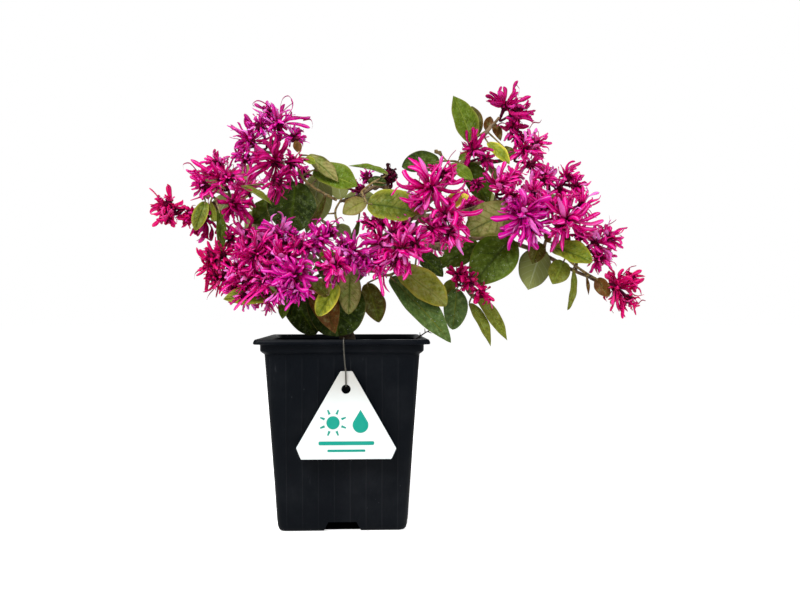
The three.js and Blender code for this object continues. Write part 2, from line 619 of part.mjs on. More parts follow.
const STEMS = {
  stem_far_left: { colour: "olive", twig: [[-86, 215, -8], [-91, 218, -11], [-96, 217, -13]], leaves: [
    { from: [-94, 214, -13], to: [-101, 194, -17], width: 10, face: "front" },
    { from: [-91, 213, -11], to: [-86, 200, -14], width: 7, face: "left" },
    { from: [-85, 209, -9], to: [-84, 178, -12], width: 10, face: "right" },
  ] },
  stem_left: { colour: "deepGreen", twig: [[-46, 214, 2], [-47, 221, -3], [-56, 226, -6]], leaves: [
    { from: [-66, 225, -8], to: [-46, 211, -12], width: 10, face: "up" },
    { from: [-45, 214, -2], to: [-62, 199, -6], width: 17, face: "front" },
    { from: [-36, 226, 0], to: [-41, 193, 2], width: 29, face: "front" },
  ] },
  stem_upper_left: { colour: "greyGreen", twig: [[-5, 215.5, -13], [-14, 220, -15], [-26, 228, -15], [-31, 236, -15], [-30, 246, -15]], leaves: [
    { from: [-16, 224, -18], to: [-24, 195, -18], width: 28, face: "under" },
    { from: [-13, 219, -19], to: [-26, 196, -24], width: 8, face: "edge" },
    { from: [-24, 246, -15], to: [-4, 229, -20], width: 12, face: "up" },
    { from: [-27, 244, -17], to: [-20, 240, -22], width: 6, face: "front" },
    { from: [-20, 237, -12], to: [9, 226, -16], width: 21, face: "front" },
  ] },
  stem_top_left: { colour: "green", twig: [[12, 218, -8], [12, 221, -14], [20, 228, -14]], leaves: [
    { from: [14, 216, -14], to: [0, 205, -16], width: 13, face: "front" },
    { from: [30, 233, -8], to: [3, 239, -2], width: 12, face: "up" },
    { from: [17, 213, -24], to: [49, 203, -38], width: 21, face: "front" },
    { from: [10, 202, -8], to: [1, 184, -12], width: 9, face: "edge" },
  ] },
  stem_centre_front: { colour: "olive", twig: [[44, 200, -14], [50, 206, -20], [60, 209, -24], [68, 210, -26]], leaves: [
    { from: [51, 208, -22], to: [43, 216, -24], width: 9, face: "front" },
    { from: [70, 212, -27], to: [85, 218, -32], width: 10, face: "up" },
    { from: [64, 208, -26], to: [72, 211, -34], width: 5, face: "front" },
    { from: [48, 212, -18], to: [37, 222, -20], width: 8, face: "front" },
  ] },
  stem_centre_low: { colour: "olive", twig: [[-2, 160, -14], [-4, 162, -24], [-8, 162, -32]], leaves: [
    { from: [4, 167, -30], to: [3, 137, -36], width: 14, face: "front" },
    { from: [-5, 158, -36], to: [-18, 136, -46], width: 13, face: "front" },
    { from: [-18, 160, -30], to: [-5, 124, -38], width: 16, face: "front" },
    { from: [-7, 162, -22], to: [-5, 122.5, -29], width: 37, face: "front" },
  ] },
  stem_low_front: { colour: "deepGreen", twig: [[-8, 146, -4], [-22, 150, -14], [-42, 152, -24]], leaves: [
    { from: [-35, 151, -14], to: [-21, 123.5, -18], width: 21, face: "front" },
    { from: [-40, 149, -20], to: [-42, 134, -24], width: 8, face: "front" },
    { from: [-46, 151, -27], to: [-83, 146, -34], width: 14, face: "up" },
  ] },
  stem_centre_right: { colour: "olive", twig: [[24, 166, -4], [30, 164, -14], [44, 169, -22], [58, 166, -22]], leaves: [
    { from: [16, 158, -16], to: [25, 132, -22], width: 15, face: "left" },
    { from: [32, 160, -22], to: [73, 118, -34], width: 19, face: "front" },
    { from: [47, 170, -24], to: [69, 143, -30], width: 21, face: "right" },
    { from: [64, 158, -20], to: [70, 150, -22], width: 6, face: "front" },
  ] },
  stem_right_low: { colour: "green", twig: [[90, 148, -5], [85, 156, -4], [76, 163, -4], [71, 170, -4]], leaves: [
    { from: [86, 145, -8], to: [101, 115, -12], width: 12, face: "right" },
    { from: [91, 149, -6], to: [112, 120, -6], width: 12, face: "front" },
    { from: [79, 155, -8], to: [74, 127, -14], width: 18, face: "right" },
    { from: [84, 186, -8], to: [68, 174, -10], width: 15, face: "front" },
    { from: [72, 174, -6], to: [60, 170, -8], width: 9, face: "front" },
  ] },
  stem_right: { colour: "greyGreen", twig: [[112, 200, 0], [116, 196, -8], [124, 190, -10], [134, 187, -10]], leaves: [
    { from: [119, 209, -12], to: [83, 193, -20], width: 25, face: "front" },
    { from: [118, 189, -8], to: [89, 157, -16], width: 30, face: "front" },
    { from: [135, 187, -14], to: [130, 172, -18], width: 12, face: "front" },
    { from: [137, 183, -9], to: [127, 154, -14], width: 23, face: "under" },
  ] },
  stem_right_lower: { colour: "yellowGreen", twig: [[170, 164, -10], [160, 171, -12], [152, 178, -13], [144, 187, -14]], leaves: [
    { from: [152, 174, -13], to: [144, 158, -17], width: 15, face: "front" },
    { from: [145, 187, -17], to: [172, 174, -28], width: 19, face: "up" },
    { from: [151, 186, -15], to: [156, 193, -20], width: 6, face: "front" },
    { from: [142, 187, -13], to: [138, 195, -14], width: 6, face: "front" },
    { from: [158, 168, -14], to: [154, 140, -16], width: 9, face: "edge" },
    { from: [174, 162, -12], to: [184, 150, -18], width: 11, face: "left" },
  ] },
  stem_top_right: { colour: "green", twig: [[89, 252, 8], [90, 258, 10], [98, 264, 8]], leaves: [
    { from: [88, 256, 10], to: [75, 288, 6], width: 19, face: "front" },
    { from: [90, 260, 12], to: [88, 281, 16], width: 13, face: "front" },
    { from: [98, 264, 8], to: [101, 274, 8], width: 7, face: "front" },
    { from: [103, 269, 6], to: [108, 257, 4], width: 7, face: "front" },
    { from: [99, 256, 0], to: [114, 241, -10], width: 10, face: "front" },
    { from: [108, 254, 4], to: [116, 251, 4], width: 8, face: "front" },
  ] },
  stem_right_upper: { colour: "deepGreen", twig: [[76, 237, 2], [78, 242, -6], [70, 243, -14]], leaves: [
    { from: [82, 241, -4], to: [100, 214, -6], width: 20, face: "front" },
    { from: [79, 244, -6], to: [88, 249, -6], width: 6, face: "front" },
    { from: [67, 245, -16], to: [41, 238, -18], width: 17, face: "front" },
    { from: [72, 240, -14], to: [89, 230, -18], width: 10, face: "front" },
    { from: [98, 242, -2], to: [106, 226, -8], width: 10, face: "right" },
  ] },
  stem_back_left: { colour: "green", twig: [[-52, 196, 52], [-60, 206, 62], [-70, 216, 64], [-82, 220, 58]], leaves: [
    { from: [-56, 202, 60], to: [-40, 222, 70], width: 17, face: "back" },
    { from: [-62, 208, 64], to: [-58, 184, 78], width: 18, face: "back" },
    { from: [-70, 216, 66], to: [-64, 240, 66], width: 16, face: "back" },
    { from: [-76, 218, 64], to: [-90, 200, 72], width: 17, face: "back" },
    { from: [-82, 220, 60], to: [-96, 232, 50], width: 14, face: "back" },
  ] },
  stem_back_low: { colour: "deepGreen", twig: [[-8, 164, 30], [-16, 160, 44], [-28, 158, 54], [-42, 160, 58]], leaves: [
    { from: [-14, 160, 42], to: [-2, 142, 56], width: 18, face: "back" },
    { from: [-20, 158, 48], to: [-32, 138, 58], width: 18, face: "back" },
    { from: [-30, 159, 56], to: [-22, 176, 72], width: 15, face: "back" },
    { from: [-42, 160, 58], to: [-60, 150, 62], width: 16, face: "back" },
  ] },
  stem_back_middle: { colour: "green", twig: [[-4, 198, 50], [-6, 208, 60], [-2, 216, 66]], leaves: [
    { from: [-7, 204, 58], to: [-26, 212, 66], width: 17, face: "back" },
    { from: [-2, 216, 68], to: [-6, 234, 68], width: 15, face: "back" },
    { from: [-4, 200, 54], to: [6, 184, 66], width: 16, face: "back" },
    { from: [0, 214, 66], to: [22, 218, 66], width: 15, face: "back" },
  ] },
  stem_back_right: { colour: "green", twig: [[96, 204, 58], [106, 208, 66], [120, 214, 66], [132, 212, 58]], leaves: [
    { from: [100, 206, 64], to: [92, 228, 72], width: 17, face: "back" },
    { from: [108, 209, 68], to: [104, 184, 78], width: 18, face: "back" },
    { from: [116, 213, 68], to: [124, 234, 68], width: 16, face: "back" },
    { from: [124, 214, 66], to: [138, 198, 68], width: 17, face: "back" },
    { from: [132, 212, 60], to: [150, 218, 48], width: 14, face: "back" },
  ] },
};

const WITHERED = { at: [31, 234, 4], reach: 7, width: 2.6, count: 10, seed: 60, tips: [[26, 231], [36, 237]] };
const DEPTH_SHIFTS = [0, -4, 4, -8, 8, -12, 12, -16, 16, 20];
const LARGE_LEAF = [[0, 0.12], [0.24, 0.8], [0.5, 1], [0.78, 0.7], [1, 0.05]];
const SMALL_LEAF = [[0, 0.12], [0.3, 0.95], [0.68, 0.85], [1, 0.05]];

function shifted([x, z, y], by) {
  return sight(x, z, y + by);
}

// Rings of one leaf: its stalk on the twig, then left edge, upper midrib, right edge, lower midrib
function leafRings(leaf, twigPoints, by) {
  const base = shifted(leaf.from, by);
  const tip = shifted(leaf.to, by);
  let root = twigPoints[0];
  for (const p of twigPoints) if (p.distanceTo(base) < root.distanceTo(base)) root = p;
  const length = base.distanceTo(tip);
  const face = new THREE.Vector3(...FACES[leaf.face]);
  const chord = tip.clone().sub(base).normalize();
  face.addScaledVector(chord, -face.dot(chord)).normalize();
  const bend = base.clone().lerp(tip, 0.5).addScaledVector(face, (leaf.arch ?? 0.1) * length);
  const curve = new THREE.QuadraticBezierCurve3(base, bend, tip);
  const ringAt = (p, tangent, half, lift, thick) => {
    const normal = face.clone().addScaledVector(tangent, -face.dot(tangent)).normalize();
    const side = new THREE.Vector3().crossVectors(tangent, normal);
    return [
      p.clone().addScaledVector(side, -half).addScaledVector(normal, lift),
      p.clone().addScaledVector(normal, thick / 2),
      p.clone().addScaledVector(side, half).addScaledVector(normal, lift),
      p.clone().addScaledVector(normal, -thick / 2),
    ];
  };
  const rings = [];
  const setOff = base.clone().sub(root);
  if (setOff.length() < 0.5) setOff.copy(chord);
  rings.push(ringAt(root, setOff.normalize(), 0.5, 0, 0.9));
  (leaf.width > 11 ? LARGE_LEAF : SMALL_LEAF).forEach(([s, spread], i) => {
    const half = Math.max(0.45, (leaf.width / 2) * spread);
    const wave = i % 2 === 0 ? 0.06 : -0.02;
    rings.push(ringAt(curve.getPoint(s), curve.getTangent(s), half, (0.16 + wave) * half * spread, LEAF_THICKNESS));
  });
  rings.root = root;
  return rings;
}

const stemSolids = {};
const headParts = {};

for (const [name, limb] of Object.entries(LIMBS)) {
  const curve = limbCurve(limb);
  const steps = limb.points.length;
  take(solidOf(loft(tubeRings(curve, steps, 5, limb.start, limb.end))), `limb_${name}`);
}

function placeHead(owner, head) {
  const frame = headFrame(head);
  const core = coreSolid(frame);
  const stalk = solidOf(loft([...stalkRings(frame)]));
  take(core, `${owner}/${head.seed}`);
  take(stalk, `${owner}/${head.seed}`);
  return { head, frame, petals: [] };
}

for (const [name, spray] of Object.entries(SPRAYS)) {
  headParts[name] = spray.heads.map((head) => placeHead(name, head));
}
headParts.withered_head = [placeHead("withered_head", WITHERED)];

// A thin tube from a start to an end that it meets along a direction, bent clear of what is there
const BENDS = [[0, 0], [1, 0], [0, 1], [-1, 0], [0, -1], [1, 1], [-1, 1], [1, -1], [-1, -1]];
function bentTube(start, stop, direction, radius, taper, ignore) {
  const reach = start.distanceTo(stop);
  const a = anyNormal(direction);
  const b = new THREE.Vector3().crossVectors(direction, a);
  for (const size of [0.2, 0.4]) {
    for (const [u, v] of BENDS) {
      const bend = stop.clone().addScaledVector(direction, -0.45 * reach)
        .addScaledVector(a, u * size * reach).addScaledVector(b, v * size * reach);
      const curve = new THREE.QuadraticBezierCurve3(start, bend, stop);
      const tube = solidOf(loft(tubeRings(curve, 2, 3, radius + taper, radius)));
      if (isClear(tube, 0.2, ignore)) return tube;
    }
  }
  return null;
}

// Links from a second head's stalk to the first one's
const links = {};
for (const [name, parts] of Object.entries(headParts)) {
  if (parts.length < 2) continue;
  const a = parts[0].frame;
  const b = parts[1].frame;
  const from = b.centre.clone().addScaledVector(b.facing, -STALK_LENGTH + 1);
  const to = a.centre.clone().addScaledVector(a.facing, -4.6);
  const own = (owner) => owner.startsWith(`${name}/`);
  const tube = bentTube(to, from, b.facing, 0.9, 0.2, own);
  links[name] = tube ?? solidOf(loft(tubeRings(new THREE.LineCurve3(to, from), 1, 4, 1, 1)));
  take(links[name], `${name}/link`);
}

for (const [name, stem] of Object.entries(STEMS)) {
  const points = stem.twig.map(([x, z, y]) => sight(x, z, y));
  const curve = new THREE.CatmullRomCurve3(points, false, "centripetal");
  const tube = solidOf(loft(tubeRings(curve, points.length - 1, 3, 1.3, 0.8)));
  take(tube, name);
  stemSolids[name] = { curve, tube, leaves: [] };
}

// Wood twigs that carry each spray and each leafy stem
function carry(end, direction, radius) {
  const stop = end.clone().addScaledVector(direction, -SEAT - 0.05);
  const starts = limbSamples
    .map((sample) => ({ sample, cost: sample.distanceTo(stop) + Math.max(0, sample.z - stop.z) }))
    .filter(({ sample }) => sample.distanceTo(stop) > 4)
    .sort((p, q) => p.cost - q.cost)
    .filter((_, i) => i % 3 === 0)
    .slice(0, 16);
  for (const { sample, cost } of starts) {
    const tube = bentTube(sample, stop, direction, radius, 0.2 + 0.012 * cost, (owner) => owner.startsWith("limb_"));
    if (!tube) continue;
    take(tube, "limb_twig");
    woodTubes.push(tube);
    return true;
  }
  return false;
}

for (const parts of Object.values(headParts)) {
  parts.some(({ frame: { centre, facing } }) => {
    const end = centre.clone().addScaledVector(facing, -STALK_LENGTH);
    return carry(end, facing, 0.85);
  });
}
for (const { curve } of Object.values(stemSolids)) {
  carry(curve.getPoint(0), curve.getTangent(0), 1);
}

for (const [name, stem] of Object.entries(STEMS)) {
  const entry = stemSolids[name];
  const free = entry.curve.getPoints(40).slice(3);
  for (const leaf of stem.leaves) {
    for (const by of DEPTH_SHIFTS) {
      const rings = leafRings(leaf, free, by);
      const whole = solidOf(loft(rings));
      const blade = solidOf(loft(rings.slice(1)));
      if (!isClear(whole, 0.2, (owner) => owner.startsWith(name))) continue;
      if (!isClear(blade, 0.2, (owner) => owner === name)) continue;
      take(whole, name + "/leaf");
      entry.leaves.push(whole);
      const used = free.indexOf(rings.root);
      free.splice(Math.max(0, used - 2), 5);
      break;
    }
  }
}

for (const [name, parts] of Object.entries(headParts)) {
  for (const part of parts) {
    const { head, frame } = part;
    const own = `${name}/${head.seed}`;
    const used = new Set([0]);
    const corners = frame.corners;
    const order = [];
    for (const tip of head.tips) {
      const direction = seenTip(head, frame, tip, 0).sub(frame.centre).normalize();
      let best = -1;
      let most = -2;
      for (let f = 1; f < 20; f += 1) {
        const score = faceNormal(corners, f).dot(direction);
        if (!used.has(f) && score > most) {
          most = score;
          best = f;
        }
      }
      used.add(best);
      order.push([best, tip]);
    }
    const free = [...Array(20).keys()].filter((f) => !used.has(f));
    free.sort((p, q) => faceNormal(corners, q).dot(frame.facing) - faceNormal(corners, p).dot(frame.facing));
    for (const f of free.slice(0, Math.max(0, head.count - order.length))) order.push([f, null]);
    for (const [face, tip] of order) {
      const tries = tip ? DEPTH_STEPS.length + 3 : RULE_TRIES;
      for (let attempt = 0; attempt < tries; attempt += 1) {
        const random = draws(head.seed * 1000 + face * 31 + attempt * 7);
        const seen = tip && attempt < DEPTH_STEPS.length;
        const end = seen ? seenTip(head, frame, tip, attempt) : ruleTip(head, frame, face, random, attempt);
        const petal = petalRings(head, frame, face, end, random, Boolean(tip) && head.fine);
        const full = solidOf(loft([petal.root.map((p) => p.clone().lerp(frame.centre, -0.03)), ...petal.rings]));
        const outer = solidOf(loft(petal.rings));
        if (!isClear(full, 0.15, (owner) => owner.startsWith(own))) continue;
        if (!isClear(outer, 0.15, (owner) => owner !== own)) continue;
        take(outer, own);
        take(solidOf(loft([petal.root, petal.rings[0]])), `${own}+`);
        part.petals.push({ face, petal });
        break;
      }
    }
  }
}

function headSolid({ frame, petals }) {
  const positions = frame.corners.flatMap((c) => [c.x + frame.centre.x, c.y + frame.centre.y, c.z + frame.centre.z]);
  const indices = [];
  const grown = new Map(petals.map(({ face, petal }) => [face, petal]));
  const stalk = stalkRings(frame);
  grown.set(0, { rings: stalk, rootIndex: CORE_FACES[0] });
  CORE_FACES.forEach((corners, face) => {
    if (!grown.has(face)) {
      indices.push(...corners);
      return;
    }
    const { rings, rootIndex } = grown.get(face);
    let low = rootIndex;
    for (const ring of rings) {
      const first = positions.length / 3;
      for (const p of ring) positions.push(p.x, p.y, p.z);
      const high = [first, first + 1, first + 2];
      for (let j = 0; j < 3; j += 1) {
        const k = (j + 1) % 3;
        if (j % 2 === 0) indices.push(low[j], low[k], high[k], low[j], high[k], high[j]);
        else indices.push(low[j], low[k], high[j], low[k], high[k], high[j]);
      }
      low = high;
    }
    indices.push(...low);
  });
  return geometryOf(positions, indices);
}

for (const [name, parts] of Object.entries(headParts)) {
  const colour = name === "withered_head" ? "withered" : SPRAYS[name].colour;
  if (parts.length === 1) {
    addMesh(name, headSolid(parts[0]), COLOURS[colour], 0.6);
  } else {
    const joined = solidOf(headSolid(parts[0])).add(links[name]).add(solidOf(headSolid(parts[1])));
    addSolid(name, joined, COLOURS[colour], 0.6);
  }
}
for (const [name, { tube, leaves }] of Object.entries(stemSolids)) {
  let joined = tube;
  for (const leaf of leaves) joined = joined.add(leaf);
  addSolid(name, joined, COLOURS[STEMS[name].colour], 0.6);
}

let wood = woodTubes[0];
for (const tube of woodTubes.slice(1)) wood = wood.add(tube);
addSolid("wood", wood, COLOURS.wood, 0.85);

// Soil: a filled mound with a plain hole for the trunk
const soilRings = [
  squareRing(38, 3, FLOOR + SEAT),
  squareRing(bodyHalf(3.6) - WALL - SEAT, CORNER - 1.2, 3.6),
  squareRing(bodyHalf(SOIL_LEVEL) - WALL - SEAT, CORNER - 1.2, SOIL_LEVEL),
  squareRing(30, 12, SOIL_LEVEL + 1.4),
  squareRing(12, 8, SOIL_LEVEL + 2.4),
];
const trunkHole = limbCurve(LIMBS.trunk);
let soil = solidOf(loft(soilRings));
const block = () => {
  const prism = notchPrism(WALL + SEAT, WALL + SEAT, NOTCH_DEPTH + WALL + SEAT);
  prism.translate(0, -BASE_HALF + 0.6 + NOTCH_DEPTH + WALL + SEAT, 0);
  return prism;
};
for (const cut of eachSide(block)) soil = soil.subtract(cut);
soil = soil.subtract(solidOf(loft(tubeRings(trunkHole, 6, 8, LIMBS.trunk.start + 0.6, LIMBS.trunk.end + 0.6))));
soil = soil.subtract(solidOf(new THREE.BoxGeometry(3, 3, 40).translate(1.2, -42.5, SOIL_LEVEL + 10)));
addSolid("soil", soil, COLOURS.soil, 0.95);

// Bare dead twig that stands in the soil and leans out over the rim
const deadTwig = new THREE.CatmullRomCurve3([
  new THREE.Vector3(40, -6, 112.55),
  new THREE.Vector3(46, -6, 120.4),
  new THREE.Vector3(52, -6, 124.2),
  new THREE.Vector3(58, -6, 124.8),
  new THREE.Vector3(63.5, -6, 123.4),
]);
addMesh("dead_twig", loft(tubeRings(deadTwig, 5, 5, 1.1, 0.6)), COLOURS.deadTwig, 0.9);

// Hang tag: a flat plate with a round hole
const outline = new THREE.Shape([
  new THREE.Vector2(-0.9, 102.2),
  new THREE.Vector2(-28.1, 55),
  new THREE.Vector2(-25.2, 48),
  new THREE.Vector2(30.6, 48),
  new THREE.Vector2(33.5, 54.4),
  new THREE.Vector2(6.3, 102.2),
]);
const hole = new THREE.Path();
hole.absarc(TAG_HOLE.x, TAG_HOLE.z, TAG_HOLE.radius, 0, 2 * Math.PI, true);
outline.holes.push(hole);
const tag = new THREE.ExtrudeGeometry(outline, { depth: TAG_THICKNESS, bevelEnabled: false, curveSegments: 10 });
tag.rotateX(Math.PI / 2);
tag.translate(0, TAG_FRONT + TAG_THICKNESS, 0);
addMesh("tag", tag, COLOURS.tag, 0.4);

// Tag wire: from the soil over the lip, down in front and through the hole, then up behind the tag
const front = TAG_FRONT - SEAT - WIRE_RADIUS;
const behind = TAG_FRONT + TAG_THICKNESS + SEAT + WIRE_RADIUS;
const wirePoints = [
  [1.2, -42.5, 104], [1.2, -43, 112], [1.2, -47, 119.5], [1.1, -51.5, 122.9], [1, -55.2, 121.9],
  [1.1, -56.4, 118.5], [1.6, -55.8, 110], [2.2, front - 0.5, 103], [2.4, front, 97], [2.5, front + 0.2, 94.1],
  [2.5, TAG_FRONT + 0.5, 92.9], [2.5, behind, 94.2], [2.4, behind, 98], [2.3, behind, 104],
];
const wireCurve = new THREE.CatmullRomCurve3(wirePoints.map((p) => new THREE.Vector3(...p)), false, "centripetal");
addMesh("tag_wire", loft(tubeRings(wireCurve, 26, 4, WIRE_RADIUS, WIRE_RADIUS)), COLOURS.wire, 0.5, 0.6);

export default object;
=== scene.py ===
"""Loropetalum bonsai in a square nursery pot with its hang tag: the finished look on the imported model.

The file is laid out as an add-on. A property group holds the sizes and colours of each finish,
an operator makes each piece or group of like pieces, and main() calls them in order.
Meshes are in metres, +Z up, and the viewer looks along +Y.
"""

import math
import random

import bmesh
import bpy
from bpy.props import FloatProperty, FloatVectorProperty, IntProperty, PointerProperty
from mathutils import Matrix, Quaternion, Vector, noise


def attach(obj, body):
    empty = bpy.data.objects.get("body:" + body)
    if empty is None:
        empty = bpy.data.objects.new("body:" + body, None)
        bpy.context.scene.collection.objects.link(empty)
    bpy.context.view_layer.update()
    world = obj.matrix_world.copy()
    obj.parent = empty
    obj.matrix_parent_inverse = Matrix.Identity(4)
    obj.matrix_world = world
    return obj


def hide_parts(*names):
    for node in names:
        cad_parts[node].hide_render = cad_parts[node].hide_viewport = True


bl_info = {
    "name": "Loropetalum Bonsai",
    "version": (1, 0, 0),
    "blender": (4, 5, 0),
    "location": "View3D > Sidebar > Bonsai",
    "description": "Finishes a potted loropetalum bonsai on its packed model",
    "category": "Object",
}

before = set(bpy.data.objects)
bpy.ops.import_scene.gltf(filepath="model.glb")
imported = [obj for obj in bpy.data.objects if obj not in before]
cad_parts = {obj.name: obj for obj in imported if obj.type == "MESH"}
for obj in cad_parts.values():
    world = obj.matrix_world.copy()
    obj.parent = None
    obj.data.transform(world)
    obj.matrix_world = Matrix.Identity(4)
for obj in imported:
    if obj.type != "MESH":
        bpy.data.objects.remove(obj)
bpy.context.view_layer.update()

MM = 0.001
EYE = Vector((13.6, -555.0, 140.85)) * MM
CAMERA_YAW = math.radians(2.55)
CAMERA_PITCH = math.radians(0.25)
CAMERA_LENS = 36.4

SENSOR_WIDTH = 36
FLOOR_HALF = 6
LIGHT_AIM = (0.03, 0, 0.17)

# Sizes that the solids share, in millimetres. A head's core is a regular body of 20 faces.
CORE_RADIUS = 3.2
CORE_EDGE = CORE_RADIUS * 1.0515
CORE_INRADIUS = CORE_RADIUS * 0.7947
STALK_LENGTH = 8.0
POT_HEIGHT = 122.0
LIP_HALF = 55.0
COLLAR_HALF = 51.3
BODY_TOP_HALF = 48.9
BASE_HALF = 41.0
CORNER = 5.4
WALL = 1.3
COLLAR_FOOT = 113.5
NOTCH_FOOT_HALF = 12.3
NOTCH_TOP_HALF = 8.9
NOTCH_HEIGHT = 6.0
NOTCH_DEPTH = 5.0
SOIL_LEVEL = 111.0

# Petals: their foot as a share of the core's inner radius, the turn between offered directions and how
# many are offered, half widths and full reach in millimetres, counts, the tone of dried ones, and how
# far their ends may roll over
PETAL_FOOT = 0.8
GOLDEN_ANGLE = 2.39996
OFFERED = 70
FILLING_HALF = 1.15
LONG_PETAL_HALF = 1.1
FULL_REACH = 22
FILLING_PETALS = 11
INNER_PETALS = 9
WISPS = 3
DRIED_TONE = 0.01
NEAR_HOOKS = (0.2, 0.5, -0.5, 1.2, -0.9)
FREE_HOOKS = (0.3, -0.4, 1.0, 1.8, -1.4)
FILLING_HOOKS = (0.2, 0.8, -0.6, 1.5, -1.1)

# Leaves: arch against the length, slant of the side veins, and the full turn of their waves
LEAF_ARCH = 0.1
VEIN_SLANT = 1.9
FULL_TURN = 6.28

# Soil: squares along a side, room to the wall, height and slope of the mound, in millimetres
SOIL_STEPS = 44
SOIL_ROOM = 0.4
MOUND_HEIGHT = 2.2
MOUND_SLOPE = 18


def body_half(z):
    """Half the width of the pot's tapered wall at a height."""
    return BASE_HALF + (BODY_TOP_HALF - BASE_HALF) * z / COLLAR_FOOT


def linear(code):
    """A web colour code as linear red, green and blue with full alpha."""
    values = [int(code[i:i + 2], 16) / 255 for i in (1, 3, 5)]
    return tuple(c / 12.92 if c < 0.04045 else ((c + 0.055) / 1.055) ** 2.4 for c in values) + (1.0,)


def tint(name, code, description):
    """A colour property with a web colour as its default."""
    return FloatVectorProperty(
        name=name, description=description, subtype="COLOR", size=4, min=0, max=1, default=linear(code))


def size(name, millimetres, description):
    """A length property with its default in millimetres."""
    return FloatProperty(
        name=name, description=description, unit="LENGTH", default=millimetres * MM, precision=5)


def share(name, value, description):
    """A plain number property."""
    return FloatProperty(name=name, description=description, default=value, min=0, soft_max=2)


# Routes of the woody limbs and the leafy twigs: [x, z] as seen on the plane y = 0, then the depth y

LIMBS = {
    "trunk": (6.2, 4.2, [(5, 84, 2), (4, 112, 2), (1, 128, 4), (3, 146, 8), (2, 166, 10)]),
    "left main": (3.0, 1.0, [
        (2, 158, 10), (-18, 180, 6), (-42, 189, 4), (-64, 203, 4), (-80, 213, 4), (-90, 213, 4)]),
    "left upper": (2.4, 0.9, [(-16, 178, 6), (-24, 204, 12), (-36, 228, 12), (-46, 248, 8), (-50, 258, 8)]),
    "left low": (2.4, 0.9, [
        (2, 148, 8), (-14, 156, -4), (-30, 160, -14), (-52, 158, -16), (-72, 166, -10), (-82, 176, -6)]),
    "pale twig": (2.0, 1.0, [(44, 203, 14), (37, 217, 6), (24, 225.5, -2), (9, 218, -7), (-3, 214.5, -11)]),
    "front right": (2.4, 0.9, [(3, 156, 8), (20, 172, -6), (36, 186, -14), (50, 200, -18), (58, 212, -16)]),
    "right main": (3.6, 1.3, [
        (2, 160, 10), (22, 184, 14), (48, 206, 14), (68, 226, 12), (80, 240, 8), (88, 250, 4),
        (102, 268, 0)]),
    "right top": (1.8, 1.0, [(80, 240, 8), (96, 242, 4), (110, 244, 2), (118, 250, 2)]),
    "right middle": (2.4, 0.9, [
        (46, 204, 14), (76, 206, 10), (102, 214, 4), (120, 216, 0), (138, 216, -4), (152, 219, -2)]),
    "right low": (2.4, 1.0, [
        (20, 182, 14), (58, 184, 20), (98, 190, 16), (130, 182, 4), (158, 168, -4), (172, 162, -6)]),
    "right down": (2.0, 0.9, [(60, 184, 20), (78, 178, 6), (82, 164, 0), (86, 152, -2), (96, 144, -4)]),
    "back left": (2.6, 0.9, [(1, 156, 10), (-22, 176, 30), (-46, 190, 46), (-66, 196, 56)]),
    "back right": (2.6, 0.9, [(2, 160, 12), (30, 176, 34), (66, 192, 48), (104, 202, 52)]),
    "back upper": (2.4, 1.0, [(1, 164, 12), (2, 184, 30), (-8, 196, 46), (-16, 202, 60)]),
}

TWIGS = {
    "stem_far_left": [(-86, 215, -8), (-91, 218, -11), (-96, 217, -13)],
    "stem_left": [(-46, 214, 2), (-47, 221, -3), (-56, 226, -6)],
    "stem_upper_left": [(-5, 215.5, -13), (-14, 220, -15), (-26, 228, -15), (-31, 236, -15), (-30, 246, -15)],
    "stem_top_left": [(12, 218, -8), (12, 221, -14), (20, 228, -14)],
    "stem_centre_front": [(44, 200, -14), (50, 206, -20), (60, 209, -24), (68, 210, -26)],
    "stem_centre_low": [(-2, 160, -14), (-4, 162, -24), (-8, 162, -32)],
    "stem_low_front": [(-8, 146, -4), (-22, 150, -14), (-42, 152, -24)],
    "stem_centre_right": [(24, 166, -4), (30, 164, -14), (44, 169, -22), (58, 166, -22)],
    "stem_right_low": [(90, 148, -5), (85, 156, -4), (76, 163, -4), (71, 170, -4)],
    "stem_right": [(112, 200, 0), (116, 196, -8), (124, 190, -10), (134, 187, -10)],
    "stem_right_lower": [(170, 164, -10), (160, 171, -12), (152, 178, -13), (144, 187, -14)],
    "stem_top_right": [(89, 252, 8), (90, 258, 10), (98, 264, 8)],
    "stem_right_upper": [(76, 237, 2), (78, 242, -6), (70, 243, -14)],
    "stem_back_left": [(-52, 196, 52), (-60, 206, 62), (-70, 216, 64), (-82, 220, 58)],
    "stem_back_low": [(-8, 164, 30), (-16, 160, 44), (-28, 158, 54), (-42, 160, 58)],
    "stem_back_middle": [(-4, 198, 50), (-6, 208, 60), (-2, 216, 66)],
    "stem_back_right": [(96, 204, 58), (106, 208, 66), (120, 214, 66), (132, 212, 58)],
}

HEAD_COLOURS = {
    "crimson": ["head_left_low_red", "head_far_left", "head_far_right", "head_right_hidden"],
    "violet": [
        "head_top_left_tip", "head_centre_dark", "head_front_arch", "head_front_bright", "head_small_pale",
        "head_right_purple", "head_back_left_b", "head_top_left", "head_centre"],
    "wine": [
        "head_left_skirt", "head_left_purple", "head_left_hanging", "head_right_inner", "head_top_right"]}

